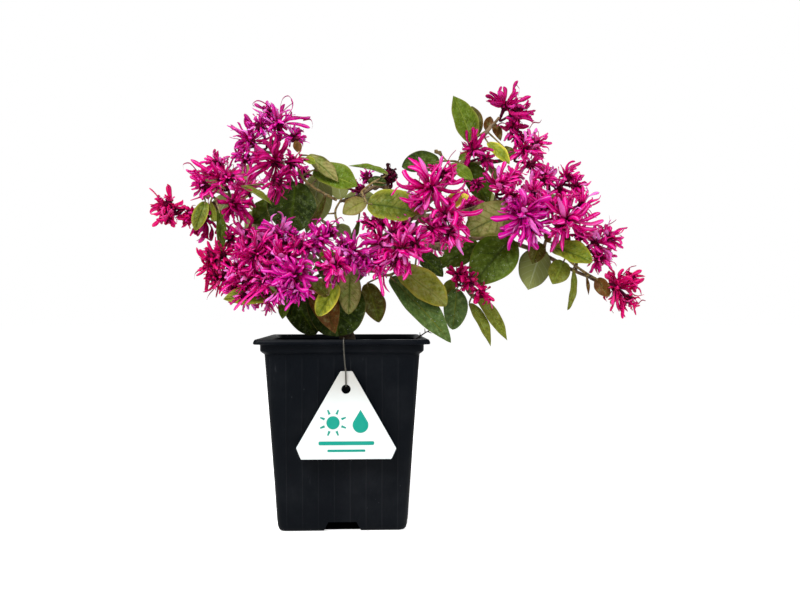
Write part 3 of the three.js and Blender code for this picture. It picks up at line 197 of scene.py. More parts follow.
# Smaller heads that fill the clusters: the head they belong to, then [x, z, y], reach and facing
FILLING_HEADS = {
    "head_top_left": [((-57, 265, -6), 10, (-0.3, -0.6, 0.8)), ((-66, 243, -8), 11, (-0.6, -0.7, -0.1))],
    "head_top_left_tip": [((-34, 258, -4), 11, (0.7, -0.6, -0.3)), ((-51, 274, 2), 9, (-0.3, -0.2, 1.0))],
    "head_left_skirt": [((-46, 228, -26), 12, (0.0, -0.8, -0.6)), ((-36, 240, -22), 11, (0.5, -0.8, 0.2))],
    "head_small_pale": [((-29, 233, -2), 7, (0.3, -0.8, -0.4))],
    "head_left_upper": [((-95, 224, -10), 11, (-0.8, -0.6, -0.1)), ((-78, 230, -18), 11, (0.1, -0.9, 0.1)),
                        ((-86, 240, -6), 10, (-0.2, -0.5, 0.9))],
    "head_far_left": [((-119, 212, -6), 8, (0.1, -0.6, 0.8)), ((-120, 203, -6), 7, (-0.6, -0.6, -0.5))],
    "head_left_purple": [((-77, 189, -14), 11, (-0.6, -0.8, 0.0))],
    "head_left_low_red": [((-82, 163, -22), 11, (-0.4, -0.7, -0.6)), ((-83, 178, -18), 11, (-0.5, -0.6, 0.6)),
                          ((-90, 177, -20), 8, (-0.5, -0.7, 0.3)), ((-87, 162, -20), 8, (-0.2, -0.9, -0.3))],
    "head_front_left": [((-72, 169, -30), 11, (-0.7, -0.7, -0.1)), ((-56, 186, -34), 12, (-0.1, -0.8, 0.6)),
                        ((-66, 186, -28), 11, (-0.5, -0.8, 0.3))],
    "head_front_left_low": [((-67, 150, -32), 10, (-0.5, -0.7, -0.5)),
        ((-55, 160, -40), 12, (0.1, -0.9, -0.3)),
                            ((-73, 155, -26), 10, (-0.9, -0.4, -0.2))],
    "head_front_bright": [((-31, 154, -54), 11, (0.3, -0.8, -0.5)), ((-43, 155, -48), 12, (-0.3, -0.8, -0.5)),
                          ((-30, 169, -50), 9, (0.5, -0.8, 0.3))],
    "head_front_centre": [((-48, 168, -46), 12, (-0.4, -0.9, 0.0)), ((-30, 184, -42), 11, (0.4, -0.8, 0.5)),
                          ((-50, 178, -20), 13, (0.0, -0.8, 0.4)), ((-58, 164, -20), 13, (-0.2, -0.9, 0.1))],
    "head_front_arch": [((-36, 190, -32), 8, (0.4, -0.7, 0.6)), ((-41, 185, -18), 12, (0.2, -0.9, 0.3))],
    "head_centre_dark": [((-23, 183, -38), 9, (-0.4, -0.9, 0.0)), ((-10, 193, -32), 7, (0.4, -0.6, 0.6))],
    "head_centre": [((14, 176, -42), 11, (0.4, -0.9, -0.3)), ((-1, 184, -36), 8, (-0.3, -0.8, 0.3)),
                    ((6, 173, -26), 12, (0.1, -0.9, -0.2)), ((44, 190, -26), 12, (0.3, -0.9, 0.1))],
    "head_centre_right": [((18, 199, -20), 10, (-0.4, -0.6, 0.7)), ((33, 192, -40), 12, (0.2, -1.0, 0.2)),
                          ((22, 172, -42), 10, (0.0, -0.9, -0.5))],
    "head_centre_front": [((49, 186, -52), 11, (0.7, -0.7, 0.0)), ((35, 173, -50), 9, (-0.1, -0.8, -0.6))],
    "head_big_front": [((53, 214, -46), 9, (-0.2, -0.9, -0.3)), ((67, 234, -42), 10, (0.3, -0.8, 0.5))],
    "head_big_low": [((73, 193, -44), 14, (0.5, -0.8, -0.4)), ((61, 196, -44), 13, (-0.3, -0.9, -0.3))],
    "head_right_inner": [((97, 244, -10), 9, (0.5, -0.8, -0.2)), ((91, 227, -16), 6, (0.1, -1.0, 0.1))],
    "withered_head": [((27.5, 229.5, 2), 4.5, (-0.6, -0.7, 0.1)), ((33, 232, 2), 4.5, (0.6, -0.7, 0.3))],
    "head_right_centre": [((117, 218, -18), 10, (0.4, -0.9, -0.1)), ((117, 232, -10), 10, (-0.1, -0.8, 0.5))],
    "head_right_upper": [((132, 255, -4), 11, (0.8, -0.4, 0.5)), ((129, 241, -8), 12, (0.6, -0.7, -0.3))],
    "head_top_right": [((121, 259, 2), 10, (0.5, -0.7, -0.3)), ((120, 276, -2), 11, (0.8, -0.4, 0.2))],
    "head_right_middle": [((138, 232, -10), 11, (0.3, -0.7, 0.6)), ((134, 212, -20), 11, (0.2, -0.9, -0.2))],
    "head_right_red": [((160, 226, -6), 11, (0.8, -0.4, -0.2)), ((148, 224, -4), 10, (-0.2, -0.8, 0.3))],
    "head_right_bright": [((165, 212, -22), 14, (0.9, -0.4, 0.1)), ((149, 198, -30), 9, (-0.2, -0.9, -0.4)),
                          ((143, 212, -26), 12, (-0.3, -0.8, 0.5))],
    "head_right_edge": [((184, 190, -8), 12, (0.9, -0.3, 0.2)), ((176, 176, -10), 12, (0.5, -0.6, -0.7)),
                        ((163, 192, -16), 10, (-0.3, -0.9, 0.3))],
    "head_right_purple": [((116, 211, -28), 7, (-0.4, -0.8, 0.4)), ((131, 196, -32), 12, (0.4, -0.8, -0.5))],
    "head_far_right": [((197, 148, -16), 10, (0.6, -0.4, -0.8)), ((199, 162, -14), 9, (0.9, -0.3, 0.4))],
    "head_right_hidden": [((86, 160, -20), 9, (0.1, -0.9, 0.3))],
}

# Each leaf: base and tip as [x, z, y] in millimetres, width, the way its upper side faces, its look and
# how sharp its tip is
LEAVES = {
    "stem_far_left": [
        ((-94, 214, -13), (-101, 194, -17), 10, "front", "mottled", 0.2),
        ((-91, 213, -11), (-86, 200, -14), 7, "left", "olive", 0.5),
        ((-85, 209, -17), (-84, 178, -20), 7.5, "right", "rich", 0.6)],
    "stem_left": [
        ((-70, 224.5, -18), (-49, 212, -22), 9, "up", "olive", 0.8),
        ((-45, 214, -2), (-62, 199, -6), 17, "front", "rich", 0.4),
        ((-33, 228, -12), (-37, 192, -10), 33, "front", "deep", 0.1)],
    "stem_upper_left": [
        ((-16, 233, -7), (-26, 192, -9), 23, "under", "grey", 1.4),
        ((-31, 248, -12), (-33, 256, -10), 6, "front", "russet", 0.3),
        ((-13, 219, -23), (-26, 196, -28), 8, "edge", "bronze", 0.6),
        ((-25, 246, -15), (-4, 228, -20), 12, "raised", "dull", 0.5),
        ((-27, 244, -21), (-20, 240, -26), 6, "front", "faded", 0.1),
        ((-21, 236, -12), (9, 225, -16), 20, "front", "green", 0.3)],
    "stem_top_left": [
        ((15, 215, -14), (-1, 206, -16), 13, "front", "tan", 0.2),
        ((29, 227, -12), (16, 229, -12), 8, "front", "deep", 0.5),
        ((30, 233, -8), (3, 239, -2), 12, "up", "green", 0.9),
        ((16, 213, -24), (50, 207, -30), 25, "front", "mottled", 0.0),
        ((10, 202, -8), (1, 184, -12), 9, "edge", "green", 0.7)],
    "stem_centre_front": [
        ((54, 206, -36), (43, 217, -34), 10, "front", "russet", 0.4),
        ((69, 211, -32), (86, 219, -36), 12, "raised", "yellow", 0.3),
        ((64, 208, -26), (72, 211, -34), 5, "front", "yellow", 0.3),
        ((48, 212, -18), (37, 222, -20), 8, "front", "green", 0.5)],
    "stem_centre_low": [
        ((4, 167, -30), (3, 137, -36), 15, "front", "dull", 0.1),
        ((-5, 158, -36), (-18, 136, -46), 13, "front", "fresh", -0.2),
        ((-21, 161, -30), (-6, 124, -38), 18, "front", "russet", 0.7),
        ((-11, 150, -44), (-24, 160.5, -54), 9, "front", "bronze", 0.4),
        ((-12, 161, -36), (-20, 171, -52), 9, "front", "rich", 0.4),
        ((-3, 171, -38), (-17, 179, -50), 10, "front", "green", 0.4),
        ((-7, 162, -22), (-4.5, 122, -29), 38.5, "front", "deep", -0.6)],
    "stem_low_front": [
        ((-37, 151, -14), (-19.5, 123, -18), 22.5, "front", "deep", 0.0),
        ((-40, 149, -20), (-42, 134, -24), 8, "front", "green", 0.6),
        ((-45, 149.5, -28), (-82, 147.5, -34), 16, "raised", "faded", 0.3)],
    "stem_centre_right": [
        ((15.5, 158.5, -16), (24, 131.5, -22), 15.5, "front", "bronze", 0.1),
        ((31.5, 163, -22), (73.5, 117.5, -34), 18.5, "front", "sea", 0.35),
        ((50, 180, -16), (68, 163, -18), 13, "front", "deep", 0.3),
        ((37, 169, -24), (70.5, 143, -32), 21.5, "front", "yellowing", 0.1),
        ((64, 158, -20), (70, 150, -22), 6, "front", "green", 0.5)],
    "stem_right_low": [
        ((86, 145, -8), (101, 115, -12), 12, "right", "olive", 0.9),
        ((92, 150, -6), (112.5, 119, -6), 10, "front", "olive", 0.9),
        ((77, 161, -6), (67, 150, -8), 8, "front", "olive", 0.3),
        ((77.5, 155, -8), (74.5, 126.5, -14), 16.5, "front", "sea", -0.1),
        ((93, 186, -8), (67, 171, -10), 18, "front", "rich", 0.1),
        ((72, 174, -6), (60, 170, -8), 9, "front", "green", 0.4)],
    "stem_right": [
        ((119, 209, -16), (83, 193, -24), 25, "front", "dull", 0.1),
        ((116, 190, -8), (87.5, 157, -16), 30, "front", "rich", 0.4),
        ((135, 187, -14), (130, 172, -18), 12, "front", "bronze", 0.7),
        ((137, 183, -9), (127, 154, -14), 23, "under", "grey", 0.9)],
    "stem_right_lower": [
        ((152, 174, -13), (144, 158, -17), 15, "front", "olive", 0.5),
        ((143, 184, -17), (172, 173, -28), 20, "raised", "faded", 0.1),
        ((151, 186, -11), (156, 193, -16), 7, "front", "russet", 0.5),
        ((142, 187, -17), (138, 195, -18), 6, "front", "russet", 0.5),
        ((158.5, 169, -14), (154.5, 140, -16), 9, "turned", "olive", -0.2),
        ((168, 163, -14), (169.3, 150.5, -15), 2.6, "front", "russet", 0.9),
        ((175, 162, -16), (184, 149.5, -22), 10, "left", "russet", 0.3)],
    "stem_top_right": [
        ((88, 256, 10), (75, 288, 6), 19, "front", "green", 0.8),
        ((90, 260, 12), (88, 281, 16), 13, "front", "bronze", 0.4),
        ((98, 264, 8), (101, 274, 8), 7, "front", "russet", 0.3),
        ((103, 269, 6), (108, 257, 4), 7, "front", "russet", 0.8),
        ((99, 256, 0), (114, 241, -10), 10, "front", "fresh", 0.2),
        ((110, 253, -2), (117, 244, -4), 8, "front", "bronze", 0.5)],
    "stem_right_upper": [
        ((82, 241, -4), (100, 214, -6), 20, "front", "rich", 0.5),
        ((79, 244, -2), (88, 249, -2), 6, "front", "green", 0.4),
        ((66, 242.5, -16), (39.5, 238.5, -18), 17, "front", "deep", 0.1),
        ((72, 240, -14), (89, 230, -18), 10, "front", "green", 0.4),
        ((98, 242, -2), (106, 226, -8), 10, "right", "dull", 0.5)],
    "stem_back_left": [
        ((-56, 202, 60), (-40, 222, 70), 17, "back", "green", 0.5),
        ((-62, 208, 64), (-58, 184, 78), 18, "back", "rich", 0.6),
        ((-70, 216, 66), (-64, 240, 66), 16, "back", "mottled", 0.4),
        ((-76, 218, 64), (-90, 200, 72), 17, "back", "green", 0.6),
        ((-82, 220, 60), (-96, 232, 50), 14, "back", "fresh", 0.4)],
    "stem_back_low": [
        ((-14, 160, 42), (-2, 142, 56), 18, "back", "deep", 0.5),
        ((-20, 158, 48), (-32, 138, 58), 18, "back", "rich", 0.4),
        ((-30, 159, 56), (-22, 176, 72), 15, "back", "green", 0.5),
        ((-42, 160, 58), (-60, 150, 62), 16, "back", "olive", 0.6)],
    "stem_back_middle": [
        ((-13, 206, 58), (-31, 214, 66), 16, "back", "green", 0.5),
        ((-2, 216, 68), (-6, 234, 68), 15, "back", "rich", 0.5),
        ((-5, 198, 54), (5, 191, 62), 9, "back", "green", 0.5),
        ((0, 214, 66), (22, 218, 66), 15, "back", "mottled", 0.5)],
    "stem_back_right": [
        ((100, 206, 64), (92, 228, 72), 17, "back", "green", 0.5),
        ((108, 209, 68), (104, 184, 78), 18, "back", "rich", 0.6),
        ((132, 212, 60), (150, 218, 48), 14, "back", "bronze", 0.5)],
}
# Dried threads at the ends of heads: the head they belong to, then each thread's [x, z, y] points
THREADS = {
    "head_top_left_tip": [
        [(-48, 275, -2), (-53, 280.5, -4), (-59, 283, -5), (-62.3, 280.5, -5), (-61, 279, -4)],
        [(-43, 274, 0), (-40.7, 277, -2), (-37.7, 279.7, -3), (-34.6, 281.9, -4)],
        [(-44, 276, 2), (-42.9, 282, 0), (-41, 285.5, 0), (-38, 286.5, -1), (-36, 284.5, -1)],
        [(-28, 270, -2), (-23, 270.5, -3), (-21.6, 267, -4), (-22, 264, -4)],
        [(-37, 260, -2), (-31, 261, -4), (-27.6, 263.5, -4)]],
    "head_far_right": [
        [(192, 162, -14), (196, 167.5, -15), (199, 170, -15), (203, 171, -14)],
        [(186, 152, -14), (184.5, 146, -15), (185, 141, -15), (187, 138, -14)],
        [(204, 144, -14), (207, 147, -14), (209.5, 146.6, -13)]],
    "head_right_edge": [
        [(178, 196, -10), (182, 199, -10), (185.5, 200.5, -9), (189, 203, -8)],
        [(183, 194, -8), (187.9, 194.8, -8), (193, 196, -7)],
        [(183, 199, -9), (184.2, 202, -9), (184, 206, -8)]],
    "head_left_upper": [
        [(-70, 224, -12), (-66, 230, -14), (-69, 236, -15), (-73, 238, -14)],
        [(-100, 235, -8), (-105, 240, -8), (-109, 239, -8), (-109, 235.5, -8)]],
    "head_left_low_red": [
        [(-97, 168, -18), (-101, 165, -20), (-101.5, 161, -20)],
        [(-88, 155, -18), (-92, 150, -19), (-93, 147, -18)]],
    "head_big_front": [
        [(70, 240, -44), (73, 246, -45), (77, 250.5, -45)], [(80, 228, -44), (86, 229, -46), (90, 226, -46)]],
    "head_centre_dark": [
        [(-10, 196, -34), (-6, 201, -36), (-2, 203.5, -36), (0, 201, -36)],
        [(-14, 196, -34), (-18, 202, -36), (-22, 202, -36)]],
    "head_top_right": [
        [(128, 266, 0), (131, 270, -1), (135, 270, -1), (136.5, 272, -1)],
        [(120, 288, -2), (121, 293, -2), (118, 297, -2)]],
}

# Long petals that hang free: the head they belong to, then each one's foot, bend and tip as [x, z, y]
LONG_PETALS = {
    "head_centre_front": [
        ((24.5, 169, -50), (24.5, 158, -58), (26.5, 149, -56)),
        ((45, 174, -50), (46, 166, -58), (40.5, 160.5, -56))],
    "head_front_left_low": [
        ((-58, 156, -46), (-66, 150, -52), (-75, 139.5, -50)),
        ((-50, 158, -46), (-60, 152, -52), (-68, 143, -50))],
    "head_front_bright": [
        ((-31, 149, -54), (-36, 146, -60), (-40.5, 139.5, -58)),
        ((-28, 165, -54), (-27, 157, -62), (-25, 149, -58)),
        ((-46, 161, -50), (-44, 153, -58), (-41, 146.5, -56))],
    "head_centre": [((-2, 171, -40), (-6, 164, -48), (-8.5, 154, -48))],
}

# Small buds on short stalks: the foot and the bud, each as [x, z, y]
BUDS = [
    ((70, 243.5, -14), (65.6, 248.6, -14)), ((70, 243.5, -14), (63.2, 249.4, -12)),
    ((133, 206, -16), (133, 214, -22)),
]

FACES = {
    "front": (0.1, -0.92, 0.4), "up": (0, -0.4, 0.92), "left": (-0.62, -0.72, 0.3),
    "right": (0.62, -0.72, 0.3),
    "under": (0.15, 0.85, 0.5), "edge": (0.85, -0.1, 0.5), "back": (0, 0.8, 0.6),
    "raised": (0.05, -0.8, 0.6), "turned": (0.7, -0.6, 0.4)}


def sight(x, z, y):
    """The point at depth y on the line from the eye through x, z on the plane y = 0, all in millimetres."""
    eye = EYE / MM
    return (eye + (Vector((x, 0, z)) - eye) * ((y - eye.y) / -eye.y)) * MM


def curve_through(points, per_span):
    """Points of a centripetal Catmull-Rom curve through the given ones."""
    ends = [points[0] * 2 - points[1], *points, points[-1] * 2 - points[-2]]
    path = []
    for i in range(len(points) - 1):
        p0, p1, p2, p3 = ends[i:i + 4]
        d0, d1, d2 = (max((b - a).length, 1e-9) ** 0.5 for a, b in ((p0, p1), (p1, p2), (p2, p3)))
        leave = ((p1 - p0) / d0 - (p2 - p0) / (d0 + d1) + (p2 - p1) / d1) * d1
        arrive = ((p2 - p1) / d1 - (p3 - p1) / (d1 + d2) + (p3 - p2) / d2) * d1
        for k in range(per_span):
            t = k / per_span
            path.append(
                p1 + leave * t + (p2 * 3 - p1 * 3 - leave * 2 - arrive) * t * t
                + (p1 * 2 - p2 * 2 + leave + arrive) * t ** 3)
    path.append(points[-1].copy())
    return path


def bezier(start, bend, stop, t):
    """A point of a quadratic curve."""
    return start * (1 - t) ** 2 + bend * (2 * t * (1 - t)) + stop * t * t


def slope(start, bend, stop, t):
    """The direction of a quadratic curve."""
    return ((bend - start) * (1 - t) + (stop - bend) * t).normalized()


def bend_through(start, stop, middle, t):
    """The bend of the quadratic curve that passes a middle point at t."""
    return (middle - start * (1 - t) ** 2 - stop * t * t) / (2 * t * (1 - t))


def smooth(t):
    """A smooth step from 0 to 1."""
    t = min(max(t, 0.0), 1.0)
    return t * t * (3 - 2 * t)


class Solid:
    """A CAD node's corners with its loose triangles joined, and the neighbours of each corner."""

    def __init__(self, node):
        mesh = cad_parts[node].data
        index = {}
        corner = []
        self.points = []
        for v in mesh.vertices:
            key = tuple(round(c / (0.002 * MM)) for c in v.co)
            if key not in index:
                index[key] = len(self.points)
                self.points.append(v.co.copy())
            corner.append(index[key])
        self.near = [set() for _ in self.points]
        self.triangles = []
        for face in mesh.polygons:
            triangle = [corner[i] for i in face.vertices]
            self.triangles.append(triangle)
            for i in triangle:
                self.near[i].update(j for j in triangle if j != i)

    def rings(self, tip, sides):
        """Rings of corners from a tip towards its root, and the corners that follow the last one."""
        rings = [set(tip)]
        seen = set(tip)
        following = set()
        while len(rings) < 7:
            following = set().union(*(self.near[i] for i in rings[-1])) - seen
            if len(following) != sides:
                break
            rings.append(following)
            seen |= following
        return [[self.points[i] for i in ring] for ring in rings], [self.points[i] for i in following]

    def threes(self):
        """Rings of each three-sided strand, from its tip."""
        for triangle in self.triangles:
            if sorted(len(self.near[i]) for i in triangle) == [3, 4, 5]:
                yield self.rings(triangle, 3)


def middle(points):
    """The mean of some points."""
    return sum(points, Vector()) / len(points)


class Lines:
    """Centre lines with a width, a side and a tone at each point, gathered for one sweep."""

    def __init__(self):
        self.points = []
        self.edges = []
        self.values = {"width": [], "along": [], "tone": []}
        self.sides = []

    def add(self, path, widths, sides=None, tone=0.5):
        first = len(self.points)
        self.points += path
        self.edges += [(first + i, first + i + 1) for i in range(len(path) - 1)]
        self.values["width"] += widths
        self.values["along"] += [i / (len(path) - 1) for i in range(len(path))]
        self.values["tone"] += [tone] * len(path)
        self.sides += sides or [Vector((0, 0, 1))] * len(path)

    def object(self, name):
        mesh = bpy.data.meshes.new(name)
        mesh.from_pydata(self.points, self.edges, [])
        for key, values in self.values.items():
            mesh.attributes.new(key, "FLOAT", "POINT").data.foreach_set("value", values)
        flat = [c for side in self.sides for c in side]
        mesh.attributes.new("side", "FLOAT_VECTOR", "POINT").data.foreach_set("vector", flat)
        piece = bpy.data.objects.new(name, mesh)
        bpy.context.scene.collection.objects.link(piece)
        return piece


class Net:
    """Short ways to add nodes to a tree."""

    def __init__(self, tree):
        self.tree = tree

    def add(self, kind, values=None, **settings):
        node = self.tree.nodes.new(kind)
        for key, value in settings.items():
            setattr(node, key, value)
        for key, value in (values or {}).items():
            self.put(node.inputs[key], value)
        return node

    def put(self, socket, value):
        if isinstance(value, bpy.types.NodeSocket):
            self.tree.links.new(value, socket)
        else:
            socket.default_value = value

    def math(self, operation, *values):
        node = self.add("ShaderNodeMath", operation=operation)
        for socket, value in zip(node.inputs, values):
            self.put(socket, value)
        return node.outputs[0]

    def mix(self, factor, a, b):
        node = self.add("ShaderNodeMix", data_type="RGBA")
        for socket, value in zip((node.inputs[0], node.inputs[6], node.inputs[7]), (factor, a, b)):
            self.put(socket, value)
        return node.outputs[2]

    def ramp(self, value, low, high, to_low=0.0, to_high=1.0):
        """A smooth step of a value between two limits."""
        node = self.add("ShaderNodeMapRange", {
            "Value": value, "From Min": low, "From Max": high, "To Min": to_low, "To Max": to_high},
            interpolation_type="SMOOTHSTEP")
        return node.outputs[0]

    def noise(self, vector, scale, detail=3.0, roughness=0.5):
        node = self.add("ShaderNodeTexNoise", {
            "Vector": vector, "Scale": scale, "Detail": detail, "Roughness": roughness})
        return node.outputs[0]

    def attribute(self, name):
        return self.add("ShaderNodeAttribute", attribute_name=name, attribute_type="GEOMETRY")

    def sockets(self, inputs, outputs):
        """Named sockets of a group, with their defaults, and its two end nodes."""
        for name, kind, default in inputs:
            socket = self.tree.interface.new_socket(name, in_out="INPUT", socket_type=kind)
            if default is not None:
                socket.default_value = default
        for name, kind in outputs:
            self.tree.interface.new_socket(name, in_out="OUTPUT", socket_type=kind)
        return self.tree.nodes.new("NodeGroupInput").outputs, self.tree.nodes.new("NodeGroupOutput").inputs

    def close(self, geometry, given, made):
        """Ends a geometry tree with real faces in the given material."""
        real = self.add("GeometryNodeRealizeInstances", {"Geometry": geometry})
        done = self.add("GeometryNodeSetMaterial", {
            "Geometry": real.outputs[0], "Material": given["Material"]})
        self.put(made["Geometry"], done.outputs[0])
        return self.tree


NUMBER = "NodeSocketFloat"
COUNT = "NodeSocketInt"
COLOUR = "NodeSocketColor"
SHAPE = "NodeSocketGeometry"
FINISH = "NodeSocketMaterial"


def swept_straps_tree():
    """Flat straps along lines: each point gives the half width and the way the strap lies."""
    net = Net(bpy.data.node_groups.new("swept_straps", "GeometryNodeTree"))
    given, made = net.sockets(
        [("Geometry", SHAPE, None), ("Points Round", COUNT, 8), ("Thickness", NUMBER, 0.12),
         ("Channel", NUMBER, 0.18), ("Material", FINISH, None)],
        [("Geometry", SHAPE)])
    lines = net.add("GeometryNodeMeshToCurve", {"Mesh": given["Geometry"]})
    side = net.add("GeometryNodeInputNamedAttribute", {"Name": "side"}, data_type="FLOAT_VECTOR")
    width = net.add("GeometryNodeInputNamedAttribute", {"Name": "width"}, data_type="FLOAT")
    laid = net.add(
        "GeometryNodeSetCurveNormal", {"Curve": lines.outputs[0], "Normal": side.outputs[0]}, mode="FREE")
    circle = net.add("GeometryNodeCurvePrimitiveCircle", {"Resolution": given["Points Round"], "Radius": 1.0})
    place = net.add("GeometryNodeInputPosition")
    parts = net.add("ShaderNodeSeparateXYZ", {0: place.outputs[0]})
    across = parts.outputs[0]
    hollow = net.math("MULTIPLY", net.math("MULTIPLY", across, across), given["Channel"])
    rise = net.math("SUBTRACT", net.math("MULTIPLY", parts.outputs[1], given["Thickness"]), hollow)
    marked = net.add(
        "GeometryNodeStoreNamedAttribute", {"Geometry": circle.outputs[0], "Name": "across", "Value": across},
        data_type="FLOAT", domain="POINT")
    section = net.add("GeometryNodeSetPosition", {
        "Geometry": marked.outputs[0],
        "Position": net.add("ShaderNodeCombineXYZ", {"X": across, "Y": rise}).outputs[0]})
    swept = net.add("GeometryNodeCurveToMesh", {
        "Curve": laid.outputs[0], "Profile Curve": section.outputs[0], "Scale": width.outputs[0],
        "Fill Caps": True})
    soft = net.add("GeometryNodeSetShadeSmooth", {"Geometry": swept.outputs[0]})
    return net.close(soft.outputs[0], given, made)


def swept_stems_tree():
    """Round stems along lines, with a knobbly surface."""
    net = Net(bpy.data.node_groups.new("swept_stems", "GeometryNodeTree"))
    given, made = net.sockets(
        [("Geometry", SHAPE, None), ("Points Round", COUNT, 8), ("Step", NUMBER, 0.0012),
         ("Knobs", NUMBER, 0.16), ("Knob Scale", NUMBER, 420.0), ("Material", FINISH, None)],
        [("Geometry", SHAPE)])
    lines = net.add("GeometryNodeMeshToCurve", {"Mesh": given["Geometry"]})
    even = net.add(
        "GeometryNodeResampleCurve", {"Curve": lines.outputs[0], "Length": given["Step"]}, mode="LENGTH")
    width = net.add("GeometryNodeInputNamedAttribute", {"Name": "width"}, data_type="FLOAT")
    circle = net.add("GeometryNodeCurvePrimitiveCircle", {"Resolution": given["Points Round"], "Radius": 1.0})
    swept = net.add("GeometryNodeCurveToMesh", {
        "Curve": even.outputs[0], "Profile Curve": circle.outputs[0], "Scale": width.outputs[0],
        "Fill Caps": True})
    place = net.add("GeometryNodeInputPosition")
    outward = net.add("GeometryNodeInputNormal")
    bumps = net.noise(place.outputs[0], given["Knob Scale"], 3.0, 0.6)
    swing = net.math("SUBTRACT", bumps, 0.5)
    most = net.math("MULTIPLY", given["Knobs"], width.outputs[0])
    height = net.math("MULTIPLY", swing, most)
    push = net.add("ShaderNodeVectorMath", {0: outward.outputs[0]}, operation="SCALE")
    net.put(push.inputs["Scale"], net.math("MULTIPLY", height, 2.0))
    rough = net.add("GeometryNodeSetPosition", {"Geometry": swept.outputs[0], "Offset": push.outputs[0]})
    soft = net.add("GeometryNodeSetShadeSmooth", {"Geometry": rough.outputs[0]})
    return net.close(soft.outputs[0], given, made)


def scattered_tree():
    """Small grains or hairs scattered over a surface."""
    net = Net(bpy.data.node_groups.new("scattered_bits", "GeometryNodeTree"))
    given, made = net.sockets(
        [("Geometry", SHAPE, None), ("Bit", "NodeSocketObject", None), ("Spacing", NUMBER, 0.001),
         ("Density", NUMBER, 1e6), ("Smallest", NUMBER, 0.5), ("Largest", NUMBER, 1.0),
         ("Lean", NUMBER, 0.4), ("Seed", COUNT, 1), ("Material", FINISH, None)],
        [("Geometry", SHAPE)])
    spots = net.add("GeometryNodeDistributePointsOnFaces", {
        "Mesh": given["Geometry"], "Distance Min": given["Spacing"], "Density Max": given["Density"],
        "Seed": given["Seed"]}, distribute_method="POISSON")
    lean = net.add("FunctionNodeRandomValue", {
        0: (-1, -1, -1), 1: (1, 1, 1), "Seed": given["Seed"]}, data_type="FLOAT_VECTOR")
    tilt = net.add("ShaderNodeVectorMath", {0: lean.outputs[0]}, operation="SCALE")
    net.put(tilt.inputs["Scale"], given["Lean"])
    way = net.add("ShaderNodeVectorMath", {0: spots.outputs["Normal"], 1: tilt.outputs[0]}, operation="ADD")
    turn = net.add("FunctionNodeAlignRotationToVector", {"Vector": way.outputs[0]}, axis="Z")
    scale = net.add("FunctionNodeRandomValue", {
        2: given["Smallest"], 3: given["Largest"], "Seed": given["Seed"]}, data_type="FLOAT")
    bit = net.add("GeometryNodeObjectInfo", {"Object": given["Bit"]})
    placed = net.add("GeometryNodeInstanceOnPoints", {
        "Points": spots.outputs["Points"], "Instance": bit.outputs["Geometry"], "Rotation": turn.outputs[0],
        "Scale": scale.outputs[1]})
    return net.close(placed.outputs[0], given, made)


def with_tree(piece, tree, settings):
    """Runs a tree on a piece, keeps the result as its plain mesh and removes the modifier."""
    modifier = piece.modifiers.new(tree.name, "NODES")
    modifier.node_group = tree
    for item in tree.interface.items_tree:
        if item.item_type == "SOCKET" and item.in_out == "INPUT" and item.name in settings:
            modifier[item.identifier] = settings[item.name]
    graph = bpy.context.evaluated_depsgraph_get()
    mesh = bpy.data.meshes.new_from_object(piece.evaluated_get(graph))
    old = piece.data
    piece.modifiers.remove(modifier)
    piece.data = mesh
    bpy.data.meshes.remove(old)
    return piece


def shader_group(name, inputs, outputs):
    """An empty shader group with named sockets."""
    net = Net(bpy.data.node_groups.new(name, "ShaderNodeTree"))
    given, made = net.sockets(inputs, outputs)
    return net, given, made


def petal_tint_group():
    """Petal colour: a dark throat, long streaks, a painted highlight along the crown of the strap and a tone
    for each petal.
    """
    net, given, made = shader_group(
        "petal_tint",
        [("Petal", COLOUR, None), ("Throat", COLOUR, None), ("Light", COLOUR, None)],
        [("Colour", COLOUR), ("Roughness", NUMBER), ("Height", NUMBER)])
    along = net.attribute("along").outputs["Fac"]
    across = net.attribute("across").outputs["Fac"]
    tone = net.attribute("tone").outputs["Fac"]
    spot = net.add("ShaderNodeCombineXYZ", {
        "X": net.math("MULTIPLY", across, 3.2), "Y": net.math("MULTIPLY", along, 1.4),
        "Z": net.math("MULTIPLY", tone, 40.0)}).outputs[0]
    streaks = net.noise(spot, 2.6, 3.0, 0.6)
    throat = net.ramp(along, 0.0, 0.4, 1.0, 0.0)
    body = net.mix(net.ramp(tone, 0.72, 1.0, 0.0, 0.75), given["Petal"], given["Light"])
    streaked = net.mix(net.ramp(streaks, 0.35, 0.75, 0.0, 0.5), body, given["Throat"])
    # Painted highlight: a lighter band along each strap, placed across it by the petal's tone and fading
    # towards its foot.
    lean = net.math("ABSOLUTE", net.math("SUBTRACT", across, net.math("SUBTRACT", tone, 0.5)))
    painted_ridge_highlight = net.math("MULTIPLY", net.ramp(lean, 0.0, 0.36, 0.52, 0.0), net.ramp(along, 0.1, 0.8))
    lit = net.mix(painted_ridge_highlight, streaked, given["Light"])
    full = net.mix(throat, lit, given["Throat"])
    dark = net.ramp(tone, 0.0, 0.06, 0.75, 0.0)
    dried = (0.08, 0.003, 0.02, 1.0)
    net.put(made["Colour"], net.mix(dark, full, dried))
    net.put(made["Roughness"], net.ramp(streaks, 0.2, 0.8, 0.32, 0.5))
    net.put(made["Height"], streaks)
    return net.tree


